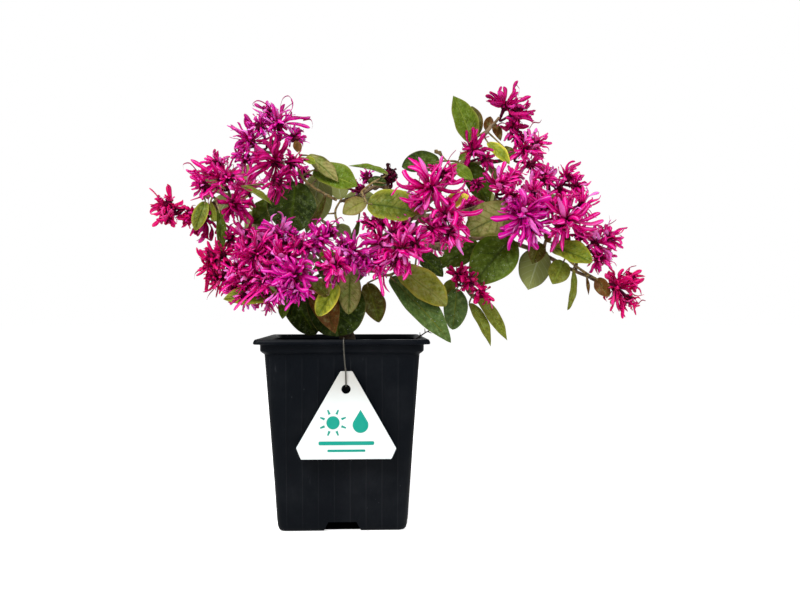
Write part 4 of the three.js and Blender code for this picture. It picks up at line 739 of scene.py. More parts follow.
def leaf_face_group():
    """Leaf colour from its own map: veins, patches, mottles, the pale ones partly painted sheen, margin, pale
    specks and a dull underside.
    """
    net, given, made = shader_group(
        "leaf_face",
        [("Face", COLOUR, None), ("Patch", COLOUR, None), ("Margin", COLOUR, None), ("Vein", COLOUR, None),
         ("Under", COLOUR, None), ("Patches", NUMBER, 0.5), ("Specks", NUMBER, 0.5), ("Veins", NUMBER, 7.0)],
        [("Colour", COLOUR), ("Roughness", NUMBER), ("Height", NUMBER)])
    flat = net.add("ShaderNodeUVMap", uv_map="leaf")
    parts = net.add("ShaderNodeSeparateXYZ", {0: flat.outputs[0]})
    across = net.math("ABSOLUTE", net.math("SUBTRACT", net.math("MULTIPLY", parts.outputs[0], 2.0), 1.0))
    along = parts.outputs[1]
    under = net.attribute("under").outputs["Fac"]
    place = net.add("ShaderNodeTexCoord").outputs["Object"]
    sway = net.math("MULTIPLY", net.math("SUBTRACT", net.noise(place, 160.0), 0.5), 0.35)
    counted = net.math("MULTIPLY", along, given["Veins"])
    climb = net.math("SUBTRACT", counted, net.math("MULTIPLY", across, VEIN_SLANT))
    phase = net.math("FRACT", net.math("ADD", climb, sway))
    off = net.math("ABSOLUTE", net.math("SUBTRACT", phase, 0.5))
    vein_line = net.ramp(off, 0.0, 0.09, 1.0, 0.0)
    side_vein = net.math("MULTIPLY", vein_line, net.ramp(across, 0.75, 1.0, 1.0, 0.0))
    midrib = net.ramp(across, 0.02, 0.075, 1.0, 0.0)
    vein = net.math("MAXIMUM", net.math("MULTIPLY", side_vein, 0.55), midrib)
    fine = net.add("ShaderNodeTexVoronoi", {"Vector": place, "Scale": 900.0}, feature="DISTANCE_TO_EDGE")
    net_veins = net.ramp(fine.outputs["Distance"], 0.0, 0.12, 1.0, 0.0)
    clouds = net.noise(place, 90.0, 4.0, 0.6)
    near_rib = net.ramp(across, 0.0, 0.34, 1.0, 0.0)
    near_vein = net.math("MULTIPLY", net.ramp(off, 0.0, 0.3, 0.8, 0.0), net.ramp(across, 0.5, 0.95, 1.0, 0.0))
    nearest = net.math("MAXIMUM", near_rib, near_vein)
    along_veins = net.math("MULTIPLY", nearest, net.ramp(clouds, 0.3, 0.6, 0.45, 0.95))
    covered = net.math("MAXIMUM", net.ramp(clouds, 0.46, 0.68), along_veins)
    patch = net.math("MULTIPLY", covered, given["Patches"])
    mottle = net.noise(place, 330.0, 5.0, 0.7)
    patched = net.mix(patch, given["Face"], given["Patch"])
    # Dark mottles are the leaf's own blotches; the pale mottles are partly its own paler blotches and partly
    # painted sheen.
    dark_mottle, pale_mottle_and_sheen = (0.004, 0.006, 0.0, 1.0), (0.26, 0.34, 0.13, 1.0)
    dimmed = net.mix(net.ramp(mottle, 0.36, 0.5, 0.42, 0.0), patched, dark_mottle)
    body = net.mix(net.ramp(mottle, 0.5, 0.66, 0.0, 0.3), dimmed, pale_mottle_and_sheen)
    edge = net.math("ADD", across, net.math("MULTIPLY", net.math("SUBTRACT", clouds, 0.5), 0.5))
    broad = net.mix(net.ramp(edge, 0.66, 1.0, 0.0, 0.55), body, given["Margin"])
    gold = (0.62, 0.5, 0.16, 1.0)
    thin_rim = net.mix(0.22, given["Margin"], gold)
    rimmed = net.mix(net.ramp(across, 0.94, 0.99, 0.0, 0.7), broad, thin_rim)
    veined = net.mix(net.math("MULTIPLY", vein, 0.48), rimmed, given["Vein"])
    netted = net.mix(net.math("MULTIPLY", net_veins, 0.16), veined, given["Vein"])
    grains = net.add("ShaderNodeTexVoronoi", {"Vector": place, "Scale": 640.0}, feature="F1")
    speck = net.math("MULTIPLY", net.ramp(grains.outputs["Distance"], 0.10, 0.2, 1.0, 0.0), given["Specks"])
    rare = net.math("MULTIPLY", speck, net.ramp(net.noise(place, 260.0), 0.5, 0.62))
    pale_speck, under_vein = (0.62, 0.68, 0.6, 1.0), (0.36, 0.40, 0.22, 1.0)
    top = net.mix(rare, netted, pale_speck)
    below = net.mix(net.math("MULTIPLY", vein, 0.6), given["Under"], under_vein)
    net.put(made["Colour"], net.mix(under, top, below))
    shine = net.ramp(clouds, 0.3, 0.7, 0.36, 0.55)
    net.put(made["Roughness"], net.math("ADD", shine, net.math("MULTIPLY", under, 0.25)))
    relief = net.math("ADD", net.math("MULTIPLY", vein, -1.0), net.math("MULTIPLY", net_veins, -0.3))
    net.put(made["Height"], relief)
    return net.tree


def bark_grain_group():
    """Bark: long grain, flakes and lichen-grey patches, with painted shade that darkens it towards black at
    and below the height of the pot's rim.
    """
    net, given, made = shader_group(
        "bark_grain",
        [("Bark", COLOUR, None), ("Crack", COLOUR, None), ("Pale", COLOUR, None), ("Scale", NUMBER, 300.0)],
        [("Colour", COLOUR), ("Roughness", NUMBER), ("Height", NUMBER)])
    place = net.add("ShaderNodeTexCoord").outputs["Object"]
    grain = net.noise(place, given["Scale"], 5.0, 0.65)
    flake_scale = net.math("MULTIPLY", given["Scale"], 1.6)
    flakes = net.add("ShaderNodeTexVoronoi", {"Vector": place, "Scale": flake_scale})
    patches = net.noise(place, net.math("MULTIPLY", given["Scale"], 0.25), 3.0)
    dark = net.mix(net.ramp(grain, 0.35, 0.6), given["Crack"], given["Bark"])
    high = net.add("ShaderNodeSeparateXYZ", {0: place}).outputs[2]
    # Painted shade: the trunk's foot and the soil under it are darkened towards black low down, fading out a
    # little above the pot's rim.
    painted_low_shade = net.ramp(high, 0.122, 0.145, 0.7, 0.0)
    unshaded = net.mix(net.ramp(patches, 0.5, 0.7, 0.0, 0.6), dark, given["Pale"])
    shade_black = (0.002, 0.0015, 0.001, 1.0)
    net.put(made["Colour"], net.mix(painted_low_shade, unshaded, shade_black))
    net.put(made["Roughness"], net.ramp(grain, 0.3, 0.7, 0.75, 0.95))
    net.put(made["Height"], net.math("ADD", grain, net.math("MULTIPLY", flakes.outputs["Distance"], 0.5)))
    return net.tree


def dust_group():
    """Pale dust, water marks and fine scratches over a smooth moulding; rib crests made lighter as wear and
    painted highlight, a foot paler from dust and painted light, and painted shade that greys the part above a
    height.
    """
    net, given, made = shader_group(
        "dust_and_scuffs",
        [("Colour", COLOUR, None), ("Dust", COLOUR, None), ("Amount", NUMBER, 0.3), ("Gloss", NUMBER, 0.45),
         ("Rib Spacing", NUMBER, 0.01), ("Ribs", NUMBER, 0.0), ("Grime", NUMBER, 0.0)],
        [("Colour", COLOUR), ("Roughness", NUMBER), ("Height", NUMBER)])
    place = net.add("ShaderNodeTexCoord").outputs["Object"]
    haze = net.noise(place, 28.0, 4.0, 0.6)
    drag = net.add("ShaderNodeMapping", {"Vector": place, "Scale": (320.0, 320.0, 26.0)})
    marks = net.noise(drag.outputs[0], 1.0, 3.0, 0.7)
    motes = net.add("ShaderNodeTexVoronoi", {"Vector": place, "Scale": 210.0}, feature="F1")
    where = net.noise(place, 22.0, 2.0)
    dot = net.ramp(motes.outputs["Distance"], 0.05, 0.11, 1.0, 0.0)
    mote = net.math("MULTIPLY", dot, net.ramp(where, 0.56, 0.66))
    film = net.math("MULTIPLY", net.ramp(haze, 0.4, 0.8), 0.25)
    scratch = net.math("MULTIPLY", net.ramp(marks, 0.66, 0.76), net.ramp(haze, 0.42, 0.6))
    spotted = net.math("MAXIMUM", net.math("MAXIMUM", mote, scratch), film)
    cover = net.math("MULTIPLY", spotted, given["Amount"])
    parts = net.add("ShaderNodeSeparateXYZ", {0: place})
    across, deep, high = parts.outputs
    wide = net.math("ABSOLUTE", across)
    far = net.math("ABSOLUTE", deep)
    on_side = net.math("GREATER_THAN", wide, far)
    run_wide = net.math("MULTIPLY", wide, net.math("SUBTRACT", 1.0, on_side))
    run = net.math("ADD", run_wide, net.math("MULTIPLY", far, on_side))
    step = net.math("FRACT", net.math("DIVIDE", run, given["Rib Spacing"]))
    # Rib crests below the collar turn lighter: partly rubbed wear, partly a painted highlight along each
    # crest.
    crest = net.ramp(net.math("ABSOLUTE", net.math("SUBTRACT", step, 0.5)), 0.02, 0.05, 1.0, 0.0)
    below = net.ramp(high, 0.108, 0.112, 1.0, 0.0)
    worn_and_highlit = net.math("MULTIPLY", net.math("MULTIPLY", crest, below), net.ramp(haze, 0.3, 0.6, 0.3, 1.0))
    # The foot turns paler: partly dust, partly painted light for a wall that looks brighter low down.
    dust_and_light_at_foot = net.ramp(high, 0.02, 0.1, 0.5, 0.0)
    cover = net.math("ADD", cover, net.math("MULTIPLY", worn_and_highlit, given["Ribs"]))
    cover = net.math("ADD", cover, net.math("MULTIPLY", net.math("MULTIPLY", dust_and_light_at_foot, haze), given["Ribs"]))
    # Painted shade: the colour greys above a height, for the upper part of the tag.
    painted_top_shade = net.math("MULTIPLY", net.ramp(high, 0.074, 0.1), given["Grime"])
    net.put(made["Colour"], net.mix(net.math("ADD", cover, painted_top_shade), given["Colour"], given["Dust"]))
    rough = net.math("ADD", given["Gloss"], net.math("MULTIPLY", haze, 0.14))
    net.put(made["Roughness"], net.math("ADD", rough, net.math("MULTIPLY", cover, 0.4)))
    net.put(made["Height"], net.math("ADD", marks, net.noise(place, 900.0, 2.0)))
    return net.tree


def finish(name, group, values, relief=0.0, **shader):
    """A material with its colour, gloss and relief from a shared group, and its other values set."""
    material = bpy.data.materials.new(name)
    material.use_nodes = True
    net = Net(material.node_tree)
    surface = net.tree.nodes["Principled BSDF"]
    effect = net.add("ShaderNodeGroup", node_tree=group)
    for key, value in values.items():
        net.put(effect.inputs[key], value)
    net.put(surface.inputs["Base Color"], effect.outputs["Colour"])
    net.put(surface.inputs["Roughness"], effect.outputs["Roughness"])
    if relief:
        bump = net.add("ShaderNodeBump", {
            "Strength": 0.6, "Distance": relief, "Height": effect.outputs["Height"]})
        net.put(surface.inputs["Normal"], bump.outputs[0])
    for key, value in shader.items():
        surface.inputs[key.replace("_", " ")].default_value = value
    return material


MADE = {}


def once(make):
    """A tree or group that several pieces share, made at its first use."""
    if make.__name__ not in MADE:
        MADE[make.__name__] = make()
    return MADE[make.__name__]


def bark_finish(name, bark, crack, pale, scale, relief, **shader):
    """A rough woody finish: its colour, its cracks, its pale patches and their scale."""
    values = {"Bark": bark, "Crack": crack, "Pale": pale, "Scale": scale}
    return finish(name, once(bark_grain_group), values, relief, **shader)


def dusty_finish(name, colour, dust, amount, gloss, relief, extra, **shader):
    """A smooth hard finish with dust on it. Extra values are for the lighter rib crests, partly wear and
    partly painted highlight, and for painted shade higher up.
    """
    values = {"Colour": colour, "Dust": dust, "Amount": amount, "Gloss": gloss} | extra
    return finish(name, once(dust_group), values, relief, **shader)


def stems_piece(name, lines, points_round, step, knobs, knob_scale, material):
    """Round knobbly stems along lines, as one piece."""
    return with_tree(lines.object(name), once(swept_stems_tree), {
        "Points Round": points_round, "Step": step, "Knobs": knobs, "Knob Scale": knob_scale,
        "Material": material})


def keep(piece, slot, *nodes):
    """Puts a finished piece on the plant's one body, in place of its CAD nodes."""
    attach(piece, "root")
    if nodes:
        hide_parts(*nodes)
    return piece


def mesh_piece(name, points, faces, *materials):
    """A smooth mesh object."""
    mesh = bpy.data.meshes.new(name)
    mesh.from_pydata(points, [], faces)
    for material in materials:
        mesh.materials.append(material)
    mesh.shade_smooth()
    piece = bpy.data.objects.new(name, mesh)
    bpy.context.scene.collection.objects.link(piece)
    return piece


def plain_mesh(piece):
    """Turns a piece with live modifiers, or a curve, into a plain mesh object of the same name."""
    graph = bpy.context.evaluated_depsgraph_get()
    mesh = bpy.data.meshes.new_from_object(piece.evaluated_get(graph))
    name = piece.name
    mesh.transform(piece.matrix_world)
    bpy.data.objects.remove(piece)
    made = bpy.data.objects.new(name, mesh)
    bpy.context.scene.collection.objects.link(made)
    return made


class FlowerLook(bpy.types.PropertyGroup):
    """Sizes and colours of the flower heads."""

    magenta: tint("Magenta", "#D2007C", "Petals of most heads")
    # Each light colour tints the lighter petals and also the painted highlight along each petal's crown.
    magenta_light: tint("Magenta light", "#F48EE4", "Lighter streaks of the magenta petals")
    crimson: tint("Crimson", "#C2005C", "Petals of the red heads")
    crimson_light: tint("Crimson light", "#E8489A", "Lighter streaks of the red petals")
    violet: tint("Violet", "#CA0A92", "Petals of the heads that have faded to violet")
    violet_light: tint("Violet light", "#F098E8", "Lighter streaks of the violet petals")
    wine: tint("Wine", "#A4005A", "Petals of the dark heads")
    wine_light: tint("Wine light", "#DE44AA", "Lighter streaks of the dark petals")
    throat: tint("Throat", "#8E003E", "Foot of every petal")
    withered: tint("Withered", "#3A0C1A", "Dried head")
    calyx: tint("Calyx", "#560A2A", "Hairy cups behind the petals")
    strap_share: share("Strap share", 0.9, "Width of a petal against that of its solid")
    thickness: share("Thickness", 0.08, "Thickness of a petal against its half width")
    channel: share("Channel", 0.34, "Depth of the channel along a petal against its half width")
    per_head: IntProperty(name="Petals", description="Petals of a full head", default=42, min=6, max=80)


class LeafLook(bpy.types.PropertyGroup):
    """Sizes and colours of the leaves."""

    deep: tint("Deep green", "#1C2A04", "Old leaves")
    sea: tint("Sea green", "#445C2C", "Bluish old leaf")
    rich: tint("Rich green", "#485A08", "Glossy full-grown leaves")
    green: tint("Green", "#52690C", "Full-grown leaves")
    olive: tint("Olive", "#6C6E20", "Leaves going dull")
    dull: tint("Dull green", "#8A804C", "Felted leaves")
    fresh: tint("Fresh green", "#989C28", "Young leaves")
    faded: tint("Faded green", "#7E8222", "Yellowing leaves")
    yellow: tint("Yellow", "#F2DE50", "Yellow leaf")
    bronze: tint("Bronze", "#483E10", "Leaves turning brown")
    russet: tint("Russet", "#643A14", "Young brown leaves")
    golden: tint("Golden", "#9A8A26", "Margin of the yellowing leaves")
    grey: tint("Grey green", "#7A7F48", "Dull underside")
    vein: tint("Vein", "#8A9636", "Veins of the green leaves")
    blade: size("Blade", 0.34, "Thickness of a leaf")
    quilt: size("Quilting", 0.22, "Depth of the veins in a leaf")
    side_veins: share("Side veins", 7.0, "Side veins on each side of a leaf")
    twig: tint("Leafy twig", "#86703F", "Twigs and stalks that carry leaves")


class WoodLook(bpy.types.PropertyGroup):
    """Sizes and colours of the wood and the soil."""

    bark: tint("Bark", "#7A6248", "Trunk and limbs")
    crack: tint("Crack", "#3C2E22", "Cracks of the bark")
    pale: tint("Pale bark", "#8C7A63", "Lichen-grey patches")
    dead: tint("Dead twig", "#332D28", "Bare dead twig")
    soil: tint("Soil", "#241A13", "Damp peat")
    chips: tint("Bark chips", "#5B3B23", "Chips in the soil")
    knobs: share("Knobs", 0.16, "Height of the bark's knobs against the radius")


class PotLook(bpy.types.PropertyGroup):
    """Sizes and colours of the pot, the tag and its wire."""

    plastic: tint("Pot plastic", "#05080D", "Black moulded wall")
    dust: tint("Dust", "#8F9298", "Dust and water marks")
    rib_spacing: size("Rib spacing", 10.0, "Distance between the upright ribs")
    rib_height: size("Rib height", 0.32, "How far a rib stands out")
    tag_white: tint("Tag", "#DADEDC", "Tag plastic")
    tag_print: tint("Print", "#068A78", "Printed marks")
    wire: tint("Wire", "#55534C", "Galvanised wire")
    wire_radius: size("Wire radius", 0.45, "Radius of the wire")


class StageLook(bpy.types.PropertyGroup):
    """The studio."""

    key: FloatProperty(name="Key light", description="Power of the key light in watts", default=27.0)
    fill: FloatProperty(name="Fill light", description="Power of the fill light in watts", default=6.0)
    sky: share("Sky", 0.36, "Strength of the white surroundings on the plant")
    paper_glow: share("Paper glow", 0.67, "Brightness that the paper keeps where no lamp reaches")


def petal_curve(rings):
    """The curve, sides and width of a petal from its solid's rings, or None where no core face ends it."""
    face = rings[-1]
    edges = [(face[i] - face[i - 1]).length for i in range(3)]
    if len(rings) < 3 or max(abs(e - CORE_EDGE * MM) for e in edges) > 0.06 * MM:
        return None
    start = middle(face)
    normal = (face[1] - face[0]).cross(face[2] - face[0]).normalized()
    if normal.dot(middle(rings[-2]) - start) < 0:
        normal.negate()
    shapes = []
    for ring in rings[:-1]:
        pairs = [(ring[0], ring[1], ring[2]), (ring[1], ring[2], ring[0]), (ring[2], ring[0], ring[1])]
        a, b, keel = max(pairs, key=lambda p: (p[0] - p[1]).length)
        centre = (a + b) / 2
        shapes.append((centre, keel - centre, (a - b).length))
    tip = shapes[0][0]
    at = 0.62 if len(shapes) == 3 else 0.55
    bend = bend_through(start, tip, shapes[1][0], at)
    sides = []
    for (_, under, _), t in ((shapes[1], at), (shapes[0], 1.0)):
        sides.append(under.cross(slope(start, bend, tip, t)).normalized())
    return {
        "start": start, "bend": bend, "tip": tip, "sides": sides, "width": shapes[1][2],
        "normal": normal, "centre": start - normal * CORE_INRADIUS * MM}


def heads_of(node):
    """The flower heads of a node: each one's centre, facing, reach and petal curves."""
    heads = []
    for rings, _ in Solid(node).threes():
        petal = petal_curve(rings)
        if petal is None:
            continue
        found = [h for h in heads if (h["centre"] - petal["centre"]).length < 1.5 * MM]
        if not found:
            heads.append({"centre": petal["centre"], "petals": [], "facing": None})
            found = [heads[-1]]
        to_tip = petal["tip"] - petal["centre"]
        as_long = abs(to_tip.length - STALK_LENGTH * MM) < 0.5 * MM
        if as_long and to_tip.normalized().dot(petal["normal"]) > 0.995:
            found[0]["facing"] = -to_tip.normalized()
        else:
            found[0]["petals"].append(petal)
    for head in heads:
        if head["facing"] is None:
            head["facing"] = sum((p["normal"] for p in head["petals"]), Vector()).normalized()
        reaches = sorted((p["tip"] - head["centre"]).length for p in head["petals"])
        head["reach"] = reaches[len(reaches) * 2 // 3] if reaches else 10 * MM
    return [h for h in heads if h["petals"]]


PETAL_STEPS = (0.0, 0.1, 0.22, 0.36, 0.5, 0.64, 0.77, 0.88, 0.95, 0.985, 1.0)


def petal_outline(t):
    """Share of a petal's half width along it: a narrow foot, a straight strap and a blunt tip."""
    foot = 0.42 + 0.58 * smooth(t / 0.42)
    tip = 1.0 if t < 0.8 else math.sqrt(max(0.0, 1 - ((t - 0.8) / 0.205) ** 2))
    return foot * max(tip, 0.22)


def add_petal(lines, petal, hook, half, tone, twist=0.0):
    """Adds a petal along its curve. A hook rolls its end over."""
    start, bend, tip = petal["start"], petal["bend"], petal["tip"]
    length = sum(
        (bezier(start, bend, tip, (i + 1) / 8) - bezier(start, bend, tip, i / 8)).length for i in range(8))
    point = start.copy()
    path, sides, widths = [], [], []
    before = 0.0
    phase = tone * 57
    for t in PETAL_STEPS:
        side = petal["sides"][0].lerp(petal["sides"][1], smooth((t - 0.3) / 0.6)).normalized()
        way = slope(start, bend, tip, (t + before) / 2)
        if t > 0:
            wave = 0.32 * math.sin(phase + 8 * t) * smooth(t / 0.5)
            roll = Quaternion(side, hook * smooth((t - 0.55) / 0.45) + wave)
            point = point + roll @ way * (length * (t - before))
        turn = twist * t + 0.35 * math.sin(phase * 1.7 + 6 * t) * smooth(t / 0.3)
        side = Quaternion(way, turn) @ (side - way * side.dot(way)).normalized()
        path.append(point.copy())
        sides.append(side)
        widths.append(half * petal_outline(t) * (1 + 0.12 * math.sin(phase + 13 * t)))
        before = t
    lines.add(path, widths, sides, tone)


def spread_directions(facing, taken, count, chance):
    """Directions for more petals, each as far as it can be from those that are there."""
    across = facing.orthogonal().normalized()
    other = facing.cross(across)
    offered = []
    for i in range(OFFERED):
        lift = 1 - 1.3 * (i + 0.5) / OFFERED
        turn = GOLDEN_ANGLE * i + chance.random() * 0.5
        flat = math.sqrt(1 - lift * lift)
        offered.append(facing * lift + (across * math.cos(turn) + other * math.sin(turn)) * flat)
    taken = list(taken)
    picked = []
    for _ in range(count):
        best = min(offered, key=lambda d: max((d.dot(k) for k in taken), default=0))
        offered.remove(best)
        taken.append(best)
        picked.append(best)
    return picked


def random_way(chance):
    """A random way, not of unit length."""
    return Vector((chance.uniform(-1, 1), chance.uniform(-1, 1), chance.uniform(-1, 1)))


def free_petal(centre, way, reach, chance, droop):
    """A petal curve from the core along a direction, arched to one side and drooping a little."""
    sway = random_way(chance)
    start = centre + way * CORE_INRADIUS * PETAL_FOOT * MM
    bend = centre + (way + sway * 0.28).normalized() * reach * 0.6
    tip = centre + (way + sway * 0.42 - Vector((0, 0, droop))).normalized() * reach
    side = way.cross(sway).normalized()
    turned = Quaternion(way, chance.uniform(-0.9, 0.9)) @ side
    return {"start": start, "bend": bend, "tip": tip, "sides": [side, turned]}


def beside(petal, centre, chance):
    """A petal that leaves the core next to another one and runs nearly with it."""
    axis = random_way(chance).normalized()
    turn = Quaternion(axis, chance.choice((-1, 1)) * chance.uniform(0.25, 0.6))
    long = chance.uniform(0.62, 1.0)
    bend = centre + turn @ (petal["bend"] - centre) * long
    tip = centre + turn @ (petal["tip"] - centre) * long
    start = centre + (bend - centre).normalized() * CORE_INRADIUS * PETAL_FOOT * MM
    roll = Quaternion((tip - centre).normalized(), chance.uniform(-1.2, 1.2))
    sides = [roll @ turn @ side for side in petal["sides"]]
    return {"start": start, "bend": bend, "tip": tip, "sides": sides}


def add_strap(lines, petal, hooks, half, shares, chance):
    """Adds a petal with one of the given hooks and a width, tone and twist of its own."""
    hook = chance.choice(hooks)
    wide = half * chance.uniform(*shares)
    add_petal(lines, petal, hook, wide, pick_tone(chance), chance.uniform(-1, 1))


def dress_heads(node, look, lines):
    """Adds every petal of a node's heads."""
    chance = random.Random(node)
    for place, reach, facing in FILLING_HEADS.get(node, []):
        dress_filling_head(place, reach, facing, FILLING_HALF * MM, lines)
    for route in THREADS.get(node, []):
        path = curve_through([sight(*p) for p in route], 5)
        lines.add(path, [(0.55 - 0.3 * i / len(path)) * MM for i in range(len(path))], tone=DRIED_TONE)
    for foot, bend, tip in LONG_PETALS.get(node, []):
        petal = {"start": sight(*foot), "bend": sight(*bend), "tip": sight(*tip)}
        side = (petal["tip"] - petal["start"]).cross(Vector((0.3, -1, 0.2))).normalized()
        add_petal(lines, petal | {"sides": [side, side]}, 0.3, LONG_PETAL_HALF * MM, 0.5, 0.8)
    for head in heads_of(node):
        centre, facing, reach = head["centre"], head["facing"], head["reach"]
        half = sum(p["width"] for p in head["petals"]) / len(head["petals"]) * look.strap_share / 2
        full = round(look.per_head * min(1.0, 0.3 + 0.7 * reach / (FULL_REACH * MM)))
        taken = []
        for petal in head["petals"]:
            taken.append((petal["tip"] - centre).normalized())
            own = petal["width"] * look.strap_share / 2
            hook = chance.uniform(-0.8, 1.1)
            add_petal(lines, petal, hook, own, pick_tone(chance), chance.uniform(-0.9, 0.9))
        for petal in (head["petals"] * 3)[:max(0, (full - len(taken)) * 2 // 3)]:
            near = beside(petal, centre, chance)
            taken.append((near["tip"] - centre).normalized())
            add_strap(lines, near, NEAR_HOOKS, half, (0.75, 1.05), chance)
        for way in spread_directions(facing, taken, max(5, full - len(taken)), chance):
            petal = free_petal(centre, way, reach * chance.uniform(0.5, 0.9), chance, 0.1)
            add_strap(lines, petal, FREE_HOOKS, half, (0.7, 1.0), chance)
        for way in spread_directions(facing, [facing * -1], INNER_PETALS, chance):
            petal = free_petal(centre, way, reach * chance.uniform(0.28, 0.5), chance, 0.0)
            add_petal(lines, petal, chance.uniform(-1.8, 1.8), half * 0.6, chance.uniform(0.12, 0.45))
        for way in spread_directions(facing, taken, WISPS, chance):
            petal = free_petal(centre, way, reach * chance.uniform(0.7, 0.95), chance, 0.0)
            add_petal(lines, petal, chance.uniform(1.0, 2.6), half * 0.22, DRIED_TONE)


def dress_filling_head(place, reach, facing, half, lines):
    """Adds the petals of one of the smaller heads that fill a cluster."""
    chance = random.Random(str(place))
    centre, facing, reach = sight(*place), Vector(facing).normalized(), reach * MM
    petals = []
    for way in spread_directions(facing, [-facing], FILLING_PETALS, chance):
        petal = free_petal(centre, way, reach * chance.uniform(0.85, 1.25), chance, 0.15)
        petals.append(petal)
        add_petal(lines, petal, chance.uniform(-0.4, 0.9), half, pick_tone(chance), chance.uniform(-1, 1))
    for petal in petals + petals[:6]:
        near = beside(petal, centre, chance)
        add_strap(lines, near, FILLING_HOOKS, half, (0.7, 1.0), chance)


def pick_tone(chance):
    """A petal's tone: most are deep, some are light."""
    return 0.12 + 0.88 * chance.random() ** 1.4


class BONSAI_OT_flowers(bpy.types.Operator):
    """Strap petals of every flower head"""

    bl_idname = "bonsai.flowers"
    bl_label = "Flower heads"

    def execute(self, context):
        look = context.scene.bonsai_flowers
        tree = swept_straps_tree()
        group = petal_tint_group()
        body = {"Specular_IOR_Level": 0.04, "Subsurface_Weight": 0.25, "Subsurface_Scale": 0.001}
        colours = {
            "magenta": (look.magenta, look.magenta_light), "crimson": (look.crimson, look.crimson_light),
            "violet": (look.violet, look.violet_light), "wine": (look.wine, look.wine_light)}
        petals = {}
        for name, (petal, light) in colours.items():
            petals[name] = finish(
                f"petal_{name}", group,
                {"Petal": petal, "Throat": look.throat, "Light": light}, 0.00012, **body)
        petals["withered"] = finish(
            "petal_withered", group,
            {"Petal": look.withered, "Throat": look.withered, "Light": linear("#5C2030")}, 0.0002,
            Specular_IOR_Level=0.3)
        names = [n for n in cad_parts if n.startswith("head_")] + ["withered_head"]
        cups = Lines()
        for node in sorted(names):
            kind = next((k for k, nodes in HEAD_COLOURS.items() if node in nodes), "magenta")
            kind = "withered" if node == "withered_head" else kind
            lines = Lines()
            dress_heads(node, look, lines)
            piece = lines.object(f"{node}_petals")
            with_tree(piece, tree, {
                "Points Round": 6, "Thickness": look.thickness, "Channel": look.channel,
                "Material": petals[kind]})
            keep(piece, "withered" if kind == "withered" else "petals", node)
            heads = heads_of(node)
            for head in heads:
                add_cups(cups, head, random.Random(node + " cups"))
            for place, reach, facing in FILLING_HEADS.get(node, []):
                head = {"centre": sight(*place), "facing": Vector(facing).normalized(), "reach": reach * MM}
                add_cups(cups, head, random.Random(str(place)))
                host = min(heads, key=lambda h: (h["centre"] - head["centre"]).length)
                foot = head["centre"] - head["facing"] * STALK_LENGTH * MM
                hold = host["centre"] - host["facing"] * STALK_LENGTH * MM
                halfway = (foot + hold) / 2 - (head["facing"] + host["facing"]) * 2 * MM
                cups.add(curve_through([hold, halfway, foot], 4), [0.85 * MM] * 9)
        bark = bark_finish(
            "calyx_felt", look.calyx, linear("#30061A"), linear("#7C2A48"), 700.0, 0.0002,
            Specular_IOR_Level=0.03)
        piece = stems_piece("calyx_cups", cups, 8, 0.0007, 0.3, 700.0, bark)
        keep(piece, "petals")
        felt = with_tree(copy_of(piece, "calyx_hairs"), once(scattered_tree), {
            "Bit": hair_bit(), "Spacing": 0.0006, "Density": 1.4e6, "Smallest": 0.5, "Largest": 1.2,
            "Lean": 0.6, "Seed": 4, "Material": bark})
        keep(felt, "petals")
        return {"FINISHED"}


def add_cups(lines, head, chance):
    """The short stalk of a head and the felted cups behind its petals."""
    facing, centre = head["facing"], head["centre"]
    foot = centre - facing * STALK_LENGTH * MM
    lines.add([foot, centre - facing * 4.5 * MM, centre], [0.95 * MM, 1.2 * MM, 1.6 * MM])
    for way in spread_directions(facing, [-facing], 7, chance):
        out = (way + facing * 0.25).normalized()
        low = centre - facing * 3.4 * MM + out * 0.4 * MM
        path = [low, low.lerp(centre + out * 3.2 * MM, 0.5), centre + out * 3.4 * MM, centre + out * 4.1 * MM]
        lines.add(path, [0.5 * MM, 1.35 * MM, 1.25 * MM, 0.4 * MM])


def copy_of(piece, name):
    """A copy of a piece's mesh as a new object."""
    made = bpy.data.objects.new(name, piece.data.copy())
    bpy.context.scene.collection.objects.link(made)
    return made


def hair_bit():
    """One short three-sided hair."""
    if "hair" not in MADE:
        length, radius = 0.9 * MM, 0.05 * MM
        ring = [Vector((math.cos(a), math.sin(a), 0)) * radius for a in (0, 2.094, 4.189)]
        points = ring + [Vector((0, 0, length))]
        MADE["hair"] = mesh_piece("hair_bit", points, [(0, 2, 1), (0, 1, 3), (1, 2, 3), (2, 0, 3)])
    return MADE["hair"]


LEAF_ROWS = 30
LEAF_COLUMNS = 16


def leaf_curve(base, tip, width, face, twig):
    """Base, bend, tip, upper side, half width and root of a leaf, as its solid has them."""
    base, tip = sight(*base), sight(*tip)
    chord = (tip - base).normalized()
    up = Vector(FACES[face])
    up = (up - chord * up.dot(chord)).normalized()
    bend = (base + tip) / 2 + up * LEAF_ARCH * (tip - base).length
    root = min(twig, key=lambda p: (p - base).length)
    return {"base": base, "bend": bend, "tip": tip, "up": up, "half": width / 2 * MM, "root": root}


def leaf_outline(s, point):
    """Share of a leaf's half width along it: a round foot, and a tip from blunt to pointed."""
    return math.sin(math.pi * s ** (1 - 0.16 * point)) ** (0.5 + (0.15 + 0.4 * point) * s)


def vein_depth(s, u, veins):
    """How deep the blade lies at a vein, from 0 between veins to 1 on the midrib."""
    phase = (s * veins - abs(u) * VEIN_SLANT) % 1.0
    side = math.exp(-((phase - 0.5) / 0.14) ** 2) * smooth((1 - abs(u)) / 0.3)
    rib = math.exp(-(u / 0.07) ** 2)
    return max(rib, side * 0.75)


